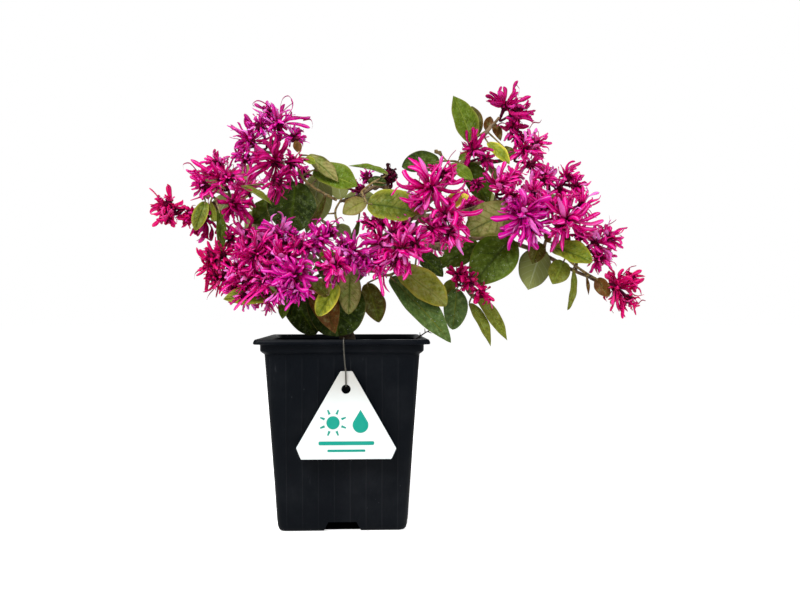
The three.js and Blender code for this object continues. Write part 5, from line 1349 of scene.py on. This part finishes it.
def blade_mesh(leaf, point, look, chance, points, faces, maps, unders):
    """Adds one leaf: two quilted faces that meet at a thin waved edge."""
    first = len(points)
    base, bend, tip = leaf["base"], leaf["bend"], leaf["tip"]
    phase = chance.uniform(0, FULL_TURN)
    waves = chance.uniform(1.6, 2.8)
    ripple = chance.uniform(0.03, 0.08)
    rows, columns = LEAF_ROWS, LEAF_COLUMNS
    for under in (0, 1):
        for i in range(rows + 1):
            s = i / rows
            along = slope(base, bend, tip, s)
            up = (leaf["up"] - along * leaf["up"].dot(along)).normalized()
            side = along.cross(up)
            half = leaf["half"] * leaf_outline(s, point)
            half *= 1 + 0.03 * math.sin(9 * s + phase)
            centre = bezier(base, bend, tip, s)
            for j in range(columns + 1):
                u = 2 * j / columns - 1
                fold = 0.26 * half * abs(u) ** 1.4
                shift = 1.9 if u > 0 else 0
                wave = ripple * half * u * u * math.sin(waves * FULL_TURN * s + phase + shift)
                depth = look.quilt * vein_depth(s, u, look.side_veins) * min(1, half / (3 * MM))
                blade = look.blade * (1 - 0.55 * abs(u) ** 3) * (0.25 + 0.75 * min(1, 8 * s * (1 - s)))
                lift = fold + wave - depth - (blade if under else 0)
                if u in (-1, 1):
                    lift = fold + wave - depth - blade / 2
                points.append(centre + side * (u * half) + up * lift)
                maps.append((u / 2 + 0.5, s))
                unders.append(float(under))
    stride = columns + 1
    lower = first + (rows + 1) * stride
    for i in range(rows):
        for j in range(columns):
            a = first + i * stride + j
            faces.append((a, a + 1, a + 1 + stride, a + stride))
            b = lower + i * stride + j
            faces.append((b, b + stride, b + 1 + stride, b + 1))
    for i in range(rows):
        for j, flip in ((0, True), (columns, False)):
            a = first + i * stride + j
            b = lower + i * stride + j
            ring = (a, a + stride, b + stride, b)
            faces.append(ring if not flip else ring[::-1])
    for i, flip in ((0, False), (rows, True)):
        for j in range(columns):
            a = first + i * stride + j
            b = lower + i * stride + j
            ring = (a, b, b + 1, a + 1)
            faces.append(ring if not flip else ring[::-1])


# Each leaf look: colours of the face, patches, margin and veins, then the shares of patches and specks
LEAF_LOOKS = {
    "deep": ("deep", "rich", "deep", "green", 0.5, 0.4),
    "rich": ("rich", "deep", "green", "deep", 0.4, 0.4),
    "sea": ("sea", "rich", "sea", "olive", 0.3, 0.5),
    "green": ("green", "rich", "olive", "vein", 0.6, 0.3),
    "olive": ("olive", "green", "olive", "vein", 0.5, 0.15),
    "mottled": ("olive", "rich", "fresh", "deep", 0.95, 0.2),
    "fresh": ("fresh", "green", "yellow", "green", 0.65, 0.1),
    "faded": ("faded", "green", "fresh", "deep", 0.9, 0.1),
    "yellow": ("yellow", "fresh", "yellow", "fresh", 0.3, 0.0),
    "yellowing": ("olive", "dull", "golden", "green", 0.8, 0.1),
    "tan": ("dull", "olive", "russet", "vein", 0.6, 0.1),
    "bronze": ("bronze", "rich", "russet", "olive", 0.7, 0.2),
    "russet": ("russet", "bronze", "russet", "bronze", 0.5, 0.1),
    "dull": ("dull", "green", "bronze", "deep", 0.75, 0.1),
    "grey": ("grey", "dull", "grey", "vein", 0.3, 0.2),
}


def leaf_materials(look):
    """One material for each leaf look."""
    group = leaf_face_group()
    made = {}
    for name, (face, patch, margin, vein, patches, specks) in LEAF_LOOKS.items():
        made[name] = finish(
            f"leaf_{name}", group,
            {"Face": getattr(look, face), "Patch": getattr(look, patch), "Margin": getattr(look, margin),
             "Vein": getattr(look, vein), "Under": look.grey, "Patches": patches, "Specks": specks,
             "Veins": look.side_veins},
            0.0006, Specular_IOR_Level=0.11)
    return made


class BONSAI_OT_leaves(bpy.types.Operator):
    """Leaves of every leafy stem, with their twigs and stalks"""

    bl_idname = "bonsai.leaves"
    bl_label = "Leaves"

    def execute(self, context):
        look = context.scene.bonsai_leaves
        materials = leaf_materials(look)
        names = list(materials)
        twigs = Lines()
        for stem, route in TWIGS.items():
            chance = random.Random(stem)
            twig = curve_through([sight(*p) for p in route], 6)
            points, faces, maps, unders, kinds = [], [], [], [], []
            for base, tip, width, face, kind, point in LEAVES[stem]:
                leaf = leaf_curve(base, tip, width, face, twig[2:])
                before = len(faces)
                blade_mesh(leaf, point, look, chance, points, faces, maps, unders)
                kinds += [names.index(kind)] * (len(faces) - before)
                stalk = [leaf["root"], leaf["root"].lerp(leaf["base"], 0.5), leaf["base"],
                         bezier(leaf["base"], leaf["bend"], leaf["tip"], 0.1)]
                twigs.add(stalk, [0.75 * MM, 0.6 * MM, 0.55 * MM, 0.35 * MM])
            piece = mesh_piece(f"{stem}_leaves", points, faces, *materials.values())
            piece.data.polygons.foreach_set("material_index", kinds)
            flat = piece.data.uv_layers.new(name="leaf")
            for loop, entry in zip(piece.data.loops, flat.data):
                entry.uv = maps[loop.vertex_index]
            piece.data.attributes.new("under", "FLOAT", "POINT").data.foreach_set("value", unders)
            keep(piece, "leaves", stem)
            twigs.add(twig, [(1.05 - 0.35 * i / len(twig)) * MM for i in range(len(twig))])
        for foot, bud in BUDS:
            foot, bud = sight(*foot), sight(*bud)
            way = (bud - foot).normalized() * MM
            twigs.add([foot, bud - way * 1.6, bud - way, bud, bud + way, bud + way * 1.5],
                      [0.5 * MM, 0.5 * MM, 1.3 * MM, 1.7 * MM, 1.2 * MM, 0.3 * MM])
        bark = bark_finish(
            "leafy_twig_bark", look.twig, linear("#4A3A22"), linear("#93885A"), 420.0, 0.0002,
            Specular_IOR_Level=0.3, Sheen_Weight=0.2)
        piece = stems_piece("leafy_twigs", twigs, 8, 0.0012, 0.14, 500.0, bark)
        keep(piece, "bark")
        return {"FINISHED"}


class BONSAI_OT_wood(bpy.types.Operator):
    """Trunk, limbs, the twigs that carry the heads and stems, and the dead twig"""

    bl_idname = "bonsai.wood"
    bl_label = "Wood"

    def execute(self, context):
        look = context.scene.bonsai_wood
        lines = Lines()
        for start, end, points in LIMBS.values():
            path = curve_through([sight(*p) for p in points], 8)
            count = len(path) - 1
            lines.add(path, [(start + (end - start) * i / count) * MM for i in range(count + 1)])
        for rings, following in Solid("wood").threes():
            if len(rings) < 2 or not following:
                continue
            tip, half, root = middle(rings[0]), middle(rings[1]), middle(following)
            thin = (rings[0][0] - tip).length
            thick = (rings[1][0] - half).length
            leave = (root - half).normalized() * 1.2 * MM
            lines.add(
                curve_through([root + leave, half, tip], 5),
                [thick * 1.15 + (thin - thick * 1.15) * i / 10 for i in range(11)])
        bark = bark_finish(
            "trunk_bark", look.bark, look.crack, look.pale, 300.0, 0.0005, Specular_IOR_Level=0.25)
        piece = stems_piece("wood_limbs", lines, 10, 0.0013, look.knobs, 360.0, bark)
        keep(piece, "bark", "wood")
        dead = Lines()
        route = [(40, -6, 112.55), (46, -6, 118.6), (51, -6, 121.8), (56, -6, 125.2), (61, -6, 127.2)]
        path = curve_through([Vector(p) * MM for p in route], 6)
        dead.add(path, [(0.7 - 0.4 * i / 24) * MM for i in range(25)])
        for at, tip in ((13, (51.5, -7, 125)), (17, (55, -5, 127.5)), (19, (59.5, -6, 124.4))):
            end = Vector(tip) * MM
            dead.add([path[at], path[at].lerp(end, 0.6), end], [0.4 * MM, 0.3 * MM, 0.2 * MM])
        grey = bark_finish(
            "dead_twig_bark", look.dead, look.crack, look.pale, 420.0, 0.0003, Specular_IOR_Level=0.2)
        piece = stems_piece("dead_twig_bare", dead, 8, 0.0009, 0.2, 500.0, grey)
        keep(piece, "bark", "dead_twig")
        return {"FINISHED"}


def square_ring(half, corner, z, rib, spacing):
    """A rounded square at a height, in millimetres, with ribs along its sides."""
    ring = []
    offsets = [spacing * k / 2 for k in (-7, -5, -3, -1, 1, 3, 5, 7)]
    for q in range(4):
        turn = Quaternion((0, 0, 1), q * math.pi / 2)
        for offset in offsets:
            inside = min(1.0, max(0.0, half - corner - abs(offset)))
            for step, out in ((-0.45, 0.0), (0.0, rib * inside), (0.45, 0.0)):
                along = max(-(half - corner), min(half - corner, offset + step))
                ring.append(turn @ Vector((half + out, along, z)))
        for i in range(7):
            angle = math.pi / 2 * i / 6
            ring.append(turn @ Vector((
                half - corner + corner * math.cos(angle), half - corner + corner * math.sin(angle), z)))
    return ring


def lofted(name, rings, material):
    """A body through rings, with flat ends."""
    points = [p * MM for ring in rings for p in ring]
    count = len(rings[0])
    faces = []
    for i in range(len(rings) - 1):
        low, high = i * count, (i + 1) * count
        for j in range(count):
            k = (j + 1) % count
            faces.append((low + j, low + k, high + k, high + j))
    faces.append(tuple(range(count))[::-1])
    faces.append(tuple(range((len(rings) - 1) * count, len(rings) * count)))
    return mesh_piece(name, points, faces, material)


def cut(piece, tool, operation):
    """Joins or cuts a piece by a tool body, which is then removed."""
    change = piece.modifiers.new(operation, "BOOLEAN")
    change.operation = operation
    change.solver = "EXACT"
    change.material_mode = "TRANSFER"
    change.object = tool
    made = plain_mesh(piece)
    bpy.data.objects.remove(tool)
    return made


def around(corners, sides, material):
    """Four copies of a body, one for each side of the pot, as one object."""
    points, faces = [], []
    for q in range(4):
        turn = Quaternion((0, 0, 1), q * math.pi / 2)
        first = len(points)
        points += [turn @ (p * MM) for p in corners]
        faces += [tuple(first + i for i in f) for f in sides]
    return mesh_piece("tool", points, faces, material)


def notch_body(extra, depth, setback):
    """A body of trapezoid section that reaches in through the foot of a wall."""
    low, high = NOTCH_FOOT_HALF + extra, NOTCH_TOP_HALF + extra
    top, bottom = NOTCH_HEIGHT + extra, -1.0 if extra == 0 else 0.0
    outline = [(-low, bottom), (low, bottom), (high, top), (-high, top)]
    near, far = -BASE_HALF + setback, -BASE_HALF + depth
    corners = [Vector((x, near, z)) for x, z in outline] + [Vector((x, far, z)) for x, z in outline]
    sides = [(0, 1, 2, 3), (7, 6, 5, 4)] + [(i, i + 4, (i + 1) % 4 + 4, (i + 1) % 4) for i in range(4)]
    return corners, sides


class BONSAI_OT_pot(bpy.types.Operator):
    """The moulded pot with its ribs, collar, lip and foot notches"""

    bl_idname = "bonsai.pot"
    bl_label = "Pot"

    def execute(self, context):
        look = context.scene.bonsai_pot
        # The rib value sets the lighter rib crests, partly wear and partly painted highlight, and the foot
        # paler from dust and painted light.
        plastic = dusty_finish(
            "pot_plastic", look.plastic, look.dust, 0.06, 0.34, 0.00006,
            {"Rib Spacing": look.rib_spacing, "Ribs": 0.012}, Specular_IOR_Level=0.05)
        # Painted shade: the faces cut by the notch tool are near black, standing in for the shade inside the
        # foot notches.
        shade = dusty_finish(
            "pot_notch_shade", linear("#010102"), look.dust, 0.02, 0.8, 0.0, {}, Specular_IOR_Level=0.0)
        rib, gap = look.rib_height / MM, look.rib_spacing / MM
        wall = [
            (38.6, 3.4, 0.0, 0), (39.7, 4.2, 0.35, 0), (40.6, 4.9, 1.4, 0), (body_half(3.6), CORNER, 3.6, 0),
            (body_half(7), CORNER, 7.0, rib), (body_half(60), CORNER, 60.0, rib),
            (body_half(110), CORNER, 110.0, rib), (body_half(112.4), CORNER, 112.4, 0),
            (COLLAR_HALF - 0.8, CORNER, 113.8, 0), (COLLAR_HALF - 0.15, CORNER, 114.5, 0),
            (COLLAR_HALF, CORNER, 115.2, 0), (COLLAR_HALF, CORNER, 118.2, 0),
            (COLLAR_HALF + 0.5, CORNER, 118.7, 0),
            (LIP_HALF - 0.6, 3.2, 118.85, 0), (LIP_HALF - 0.1, 3.4, 119.2, 0),
            (LIP_HALF, 3.4, 119.7, 0), (LIP_HALF - 0.5, 3.2, 121.2, 0),
            (LIP_HALF - 1.0, 3.0, 121.85, 0), (LIP_HALF - 1.6, 3.0, POT_HEIGHT, 0),
            (COLLAR_HALF + 0.8, CORNER, POT_HEIGHT, 0), (COLLAR_HALF, CORNER, 121.5, 0),
            (COLLAR_HALF - WALL, CORNER, 119.6, 0), (COLLAR_HALF - WALL, CORNER - 0.6, 115.4, 0),
            (body_half(112.6) - WALL, CORNER - 0.8, 113.2, 0), (body_half(3) - WALL, CORNER - 1, 3.0, 0),
            (38.6, 3.0, 1.6, 0)]
        rings = [square_ring(half, corner, z, out, gap) for half, corner, z, out in wall]
        pot = lofted("pot_moulded", rings, plastic)
        pot = cut(pot, around(*notch_body(WALL, NOTCH_DEPTH + WALL, 2.7), plastic), "UNION")
        pot = cut(pot, around(*notch_body(0, NOTCH_DEPTH, -4.0), shade), "DIFFERENCE")
        edge = pot.modifiers.new("edges", "BEVEL")
        edge.width = 0.25 * MM
        edge.segments = 2
        edge.limit_method = "ANGLE"
        edge.angle_limit = math.radians(50)
        pot = plain_mesh(pot)
        pot.data.shade_smooth()
        pot.data.set_sharp_from_angle(angle=math.radians(32))
        keep(pot, "pot_plastic", "pot")
        return {"FINISHED"}


class BONSAI_OT_soil(bpy.types.Operator):
    """Uneven peat with crumbs and bark chips"""

    bl_idname = "bonsai.soil"
    bl_label = "Soil"

    def execute(self, context):
        look = context.scene.bonsai_wood
        peat = bark_finish(
            "peat", look.soil, linear("#0E0A07"), linear("#3B2B1E"), 260.0, 0.0008,
            Specular_IOR_Level=0.2)
        chips = bark_finish(
            "bark_chips", look.chips, linear("#2A1A10"), linear("#8A6A48"), 500.0, 0.0003,
            Specular_IOR_Level=0.25)
        steps = SOIL_STEPS
        half = body_half(SOIL_LEVEL) - WALL - SOIL_ROOM
        points, faces = [], []
        for i in range(steps + 1):
            for j in range(steps + 1):
                x, y = half * (2 * i / steps - 1), half * (2 * j / steps - 1)
                edge = min(1.0, (half - max(abs(x), abs(y))) / MOUND_SLOPE)
                lump = noise.noise(Vector((x, y, 0)) / 6) * 0.7 + noise.noise(Vector((x, y, 5)) / 2.2) * 0.35
                corner = max(0.0, math.hypot(max(0, abs(x) - half + 4), max(0, abs(y) - half + 4)) - 4)
                pull = 1 - corner / max(math.hypot(x, y), 1)
                z = SOIL_LEVEL + MOUND_HEIGHT * smooth(edge) + lump * min(1, edge * 3)
                points.append(Vector((x * pull, y * pull, z)))
        stride = steps + 1
        for i in range(steps):
            for j in range(steps):
                a = i * stride + j
                faces.append((a, a + stride, a + stride + 1, a + 1))
        border = list(range(steps)) + [i * stride + steps for i in range(steps)]
        border += [steps * stride + j for j in range(steps, 0, -1)]
        border += [i * stride for i in range(steps, 0, -1)]
        first = len(points)
        foot_half = body_half(4) - WALL - 0.6
        for k in border:
            scale = foot_half / half
            points.append(Vector((points[k].x * scale, points[k].y * scale, 8.0)))
        count = len(border)
        for k in range(count):
            n = (k + 1) % count
            faces.append((border[k], border[n], first + n, first + k))
        faces.append(tuple(first + k for k in range(count)))
        soil = mesh_piece("soil_peat", [p * MM for p in points], faces, peat)
        keep(soil, "soil", "soil")
        surface = mesh_piece(
            "soil_top", [p * MM for p in points[:first]], faces[:steps * steps], peat)
        crumbs = with_tree(copy_of(surface, "soil_crumbs"), once(scattered_tree), {
            "Bit": crumb_bit(0.9, 1), "Spacing": 0.0013, "Density": 6e5, "Smallest": 0.35, "Largest": 1.1,
            "Lean": 1.2, "Seed": 8, "Material": peat})
        keep(crumbs, "soil")
        bits = with_tree(surface, once(scattered_tree), {
            "Bit": crumb_bit(1.9, 2), "Spacing": 0.0046, "Density": 6e4, "Smallest": 0.4, "Largest": 1.1,
            "Lean": 1.6, "Seed": 21, "Material": chips})
        bits.name = "soil_bark_chips"
        keep(bits, "soil")
        return {"FINISHED"}


def crumb_bit(radius, seed):
    """One lumpy crumb of soil."""
    name = f"crumb_{seed}"
    if name not in MADE:
        chance = random.Random(seed)
        stretch = Vector((1.0, 0.8, 0.55)) if seed == 1 else Vector((1.3, 0.7, 0.3))
        MADE[name] = mesh_piece(name, [], [])
        ball = bmesh.new()
        bmesh.ops.create_icosphere(ball, subdivisions=1, radius=radius * MM)
        for corner in ball.verts:
            corner.co *= chance.uniform(0.75, 1.15)
            corner.co *= stretch
        ball.to_mesh(MADE[name].data)
        ball.free()
    return MADE[name]


TAG_BACK = -52.2
TAG_OUTLINE = [(-0.9, 102.2), (-28.1, 55), (-25.2, 48), (30.6, 48), (33.5, 54.4), (6.3, 102.2)]
TAG_HOLE = (2.5, 91.2, 3.0)


def rounded(corners, radius, steps=5):
    """A polygon with rounded corners."""
    made = []
    for i, corner in enumerate(corners):
        p = Vector(corner)
        a = (Vector(corners[i - 1]) - p).normalized()
        b = (Vector(corners[(i + 1) % len(corners)]) - p).normalized()
        reach = radius / math.tan(a.angle(b) / 2)
        for k in range(steps + 1):
            made.append(bezier(p + a * reach, p, p + b * reach, k / steps))
    return made


def circle(x, z, radius, steps=40):
    """Points round a circle."""
    turns = [2 * math.pi * k / steps for k in range(steps)]
    return [Vector((x + radius * math.cos(turn), z + radius * math.sin(turn))) for turn in turns]


def plate(name, outlines, back, thickness, material, bevel=0.0):
    """An upright flat plate from outlines in x and z, in millimetres; inner outlines are holes."""
    data = bpy.data.curves.new(name, "CURVE")
    data.dimensions = "2D"
    data.fill_mode = "BOTH"
    data.extrude = (thickness / 2 - bevel) * MM
    data.bevel_depth = bevel * MM
    data.bevel_resolution = 2
    for outline in outlines:
        spline = data.splines.new("POLY")
        spline.points.add(len(outline) - 1)
        for point, (x, z) in zip(spline.points, outline):
            point.co = (x * MM, z * MM, 0, 1)
        spline.use_cyclic_u = True
    piece = bpy.data.objects.new(name, data)
    bpy.context.scene.collection.objects.link(piece)
    piece.rotation_euler = (math.pi / 2, 0, 0)
    piece.location = (0, (back - thickness / 2) * MM, 0)
    bpy.context.view_layer.update()
    made = plain_mesh(piece)
    made.data.materials.clear()
    made.data.materials.append(material)
    return made


class BONSAI_OT_tag(bpy.types.Operator):
    """The hang tag, its plain printed marks and its wire"""

    bl_idname = "bonsai.tag"
    bl_label = "Tag and wire"

    def execute(self, context):
        look = context.scene.bonsai_pot
        # The tag's upper part is greyed as painted shade.
        white = dusty_finish(
            "tag_plastic", look.tag_white, linear("#A49E96"), 0.3, 0.3, 0.00004, {"Grime": 0.75},
            Specular_IOR_Level=0.2, Subsurface_Weight=0.05)
        ink = dusty_finish(
            "tag_print", look.tag_print, linear("#8FD8CC"), 0.15, 0.35, 0.00002, {},
            Specular_IOR_Level=0.15)
        tag = plate(
            "tag_plate", [rounded(TAG_OUTLINE, 0.9), circle(*TAG_HOLE)[::-1]], TAG_BACK, 1.0, white, 0.12)
        keep(tag, "tag_plastic", "tag")
        marks = []
        sun_x, sun_z = -5.5, 70.5
        marks.append(circle(sun_x, sun_z, 4.1))
        for k in range(8):
            turn = 2 * math.pi * (k + 0.5) / 8
            out = Vector((math.cos(turn), math.sin(turn)))
            side = Vector((-out.y, out.x)) * 0.75
            near, far = Vector((sun_x, sun_z)) + out * 5.6, Vector((sun_x, sun_z)) + out * 8.6
            marks.append([near - side, far - side * 0.6, far + side * 0.6, near + side])
        drop_x, drop_z = 11.5, 69.0
        drop = [Vector((drop_x, drop_z + 9.5))]
        for k in range(25):
            turn = math.radians(30 - 240 * k / 24)
            drop.append(Vector((drop_x + 4.9 * math.cos(turn), drop_z + 4.9 * math.sin(turn))))
        marks.append(drop[::-1])
        marks.append(rounded([(-14.5, 56.6), (20.0, 56.6), (20.0, 59.0), (-14.5, 59.0)], 1.1))
        marks.append(rounded([(-9.0, 52.4), (14.5, 52.4), (14.5, 53.9), (-9.0, 53.9)], 0.7))
        prints = plate("tag_marks", marks, TAG_BACK - 1.0 + 0.02, 0.06, ink)
        keep(prints, "tag_plastic")
        metal = dusty_finish(
            "galvanised_wire", look.wire, linear("#4F4A40"), 0.7, 0.4, 0.00008, {}, Metallic=0.85)
        front, behind = -54.0, -51.4
        route = [
            (1.2, -42.5, 104), (1.2, -43, 112), (1.2, -47, 119.5), (1.1, -51.5, 122.9), (1, -55.2, 121.9),
            (1.1, -56.4, 118.5), (1.6, -55.8, 110), (2.2, front - 0.5, 103), (2.4, front, 97),
            (2.5, front + 0.2, 94.1), (2.5, -52.7, 92.9), (2.5, behind, 94.2), (2.4, behind, 98),
            (2.3, behind, 104)]
        lines = Lines()
        path = curve_through([Vector(p) * MM for p in route], 7)
        lines.add(path, [look.wire_radius] * len(path))
        wire = stems_piece("tag_wire_round", lines, 10, 0.0008, 0.02, 300.0, metal)
        keep(wire, "wire", "tag_wire")
        return {"FINISHED"}


def area_light(name, place, width, power):
    """A soft square light that looks at the plant."""
    light = bpy.data.lights.new(name, "AREA")
    light.shape = "SQUARE"
    light.size = width
    light.energy = power
    lamp = bpy.data.objects.new(name, light)
    lamp.location = place
    lamp.rotation_euler = (Vector(LIGHT_AIM) - Vector(place)).to_track_quat("-Z", "Y").to_euler()
    bpy.context.scene.collection.objects.link(lamp)


class BONSAI_OT_stage(bpy.types.Operator):
    """Floor, lights, white surroundings and camera"""

    bl_idname = "bonsai.stage"
    bl_label = "Stage"

    def execute(self, context):
        look = context.scene.bonsai_stage
        scene = context.scene
        scene.view_settings.view_transform = "Standard"
        corners = ((-1, -1), (1, -1), (1, 1), (-1, 1))
        points = [Vector((FLOOR_HALF * x, FLOOR_HALF * y, -0.0002)) for x, y in corners]
        paper = bpy.data.materials.new("floor_paper")
        paper.use_nodes = True
        surface = paper.node_tree.nodes["Principled BSDF"]
        values = {
            "Base Color": (0.93, 0.93, 0.93, 1), "Roughness": 0.9, "Specular IOR Level": 0.1,
            "Emission Color": (1, 1, 1, 1)}
        for key, value in values.items():
            surface.inputs[key].default_value = value
        glow = Net(paper.node_tree)
        plain = glow.add("ShaderNodeLightPath").outputs["Is Camera Ray"]
        glow.put(surface.inputs["Emission Strength"], glow.math("MULTIPLY", plain, look.paper_glow))
        floor = mesh_piece("floor", points, [(0, 1, 2, 3)], paper)
        world = bpy.data.worlds.new("studio")
        scene.world = world
        world.use_nodes = True
        net = Net(world.node_tree)
        ground = world.node_tree.nodes["Background"]
        seen = net.add("ShaderNodeLightPath").outputs["Is Camera Ray"]
        strength = net.math("ADD", look.sky, net.math("MULTIPLY", seen, 1.0 - look.sky))
        net.put(ground.inputs["Color"], (1, 1, 1, 1))
        net.put(ground.inputs["Strength"], strength)
        area_light("key", (-0.5, -0.9, 1.2), 0.7, look.key)
        area_light("fill", (1.0, -0.7, 0.6), 0.9, look.fill)
        area_light("back", (0.3, 1.1, 1.0), 0.8, look.fill)
        camera = bpy.data.cameras.new("camera")
        camera.lens = CAMERA_LENS
        camera.sensor_width = SENSOR_WIDTH
        camera.clip_start = 0.01
        view = bpy.data.objects.new("camera", camera)
        view.location = EYE
        view.rotation_euler = (math.pi / 2 + CAMERA_PITCH, 0, -CAMERA_YAW)
        scene.collection.objects.link(view)
        scene.camera = view
        return {"FINISHED"}


class BONSAI_PT_panel(bpy.types.Panel):
    """Lists the bonsai's operators"""

    bl_idname = "BONSAI_PT_panel"
    bl_label = "Bonsai"
    bl_space_type = "VIEW_3D"
    bl_region_type = "UI"
    bl_category = "Bonsai"

    def draw(self, context):
        for operator in OPERATORS:
            self.layout.operator(operator.bl_idname)


LOOKS = {
    "bonsai_flowers": FlowerLook, "bonsai_leaves": LeafLook, "bonsai_wood": WoodLook,
    "bonsai_pot": PotLook, "bonsai_stage": StageLook}
OPERATORS = (
    BONSAI_OT_pot, BONSAI_OT_soil, BONSAI_OT_wood, BONSAI_OT_leaves, BONSAI_OT_flowers, BONSAI_OT_tag,
    BONSAI_OT_stage)


def register():
    for look in LOOKS.values():
        bpy.utils.register_class(look)
    for operator in OPERATORS:
        bpy.utils.register_class(operator)
    bpy.utils.register_class(BONSAI_PT_panel)
    for name, look in LOOKS.items():
        setattr(bpy.types.Scene, name, PointerProperty(type=look))


def unregister():
    for name in LOOKS:
        delattr(bpy.types.Scene, name)
    bpy.utils.unregister_class(BONSAI_PT_panel)
    for operator in reversed(OPERATORS):
        bpy.utils.unregister_class(operator)
    for look in reversed(list(LOOKS.values())):
        bpy.utils.unregister_class(look)


def main():
    """Makes every piece."""
    register()
    for operator in OPERATORS:
        group, name = operator.bl_idname.split(".")
        getattr(getattr(bpy.ops, group), name)()
    for name in ("hair", "crumb_1", "crumb_2"):
        bpy.data.objects.remove(MADE[name])


if __name__ == "__main__":
    main()
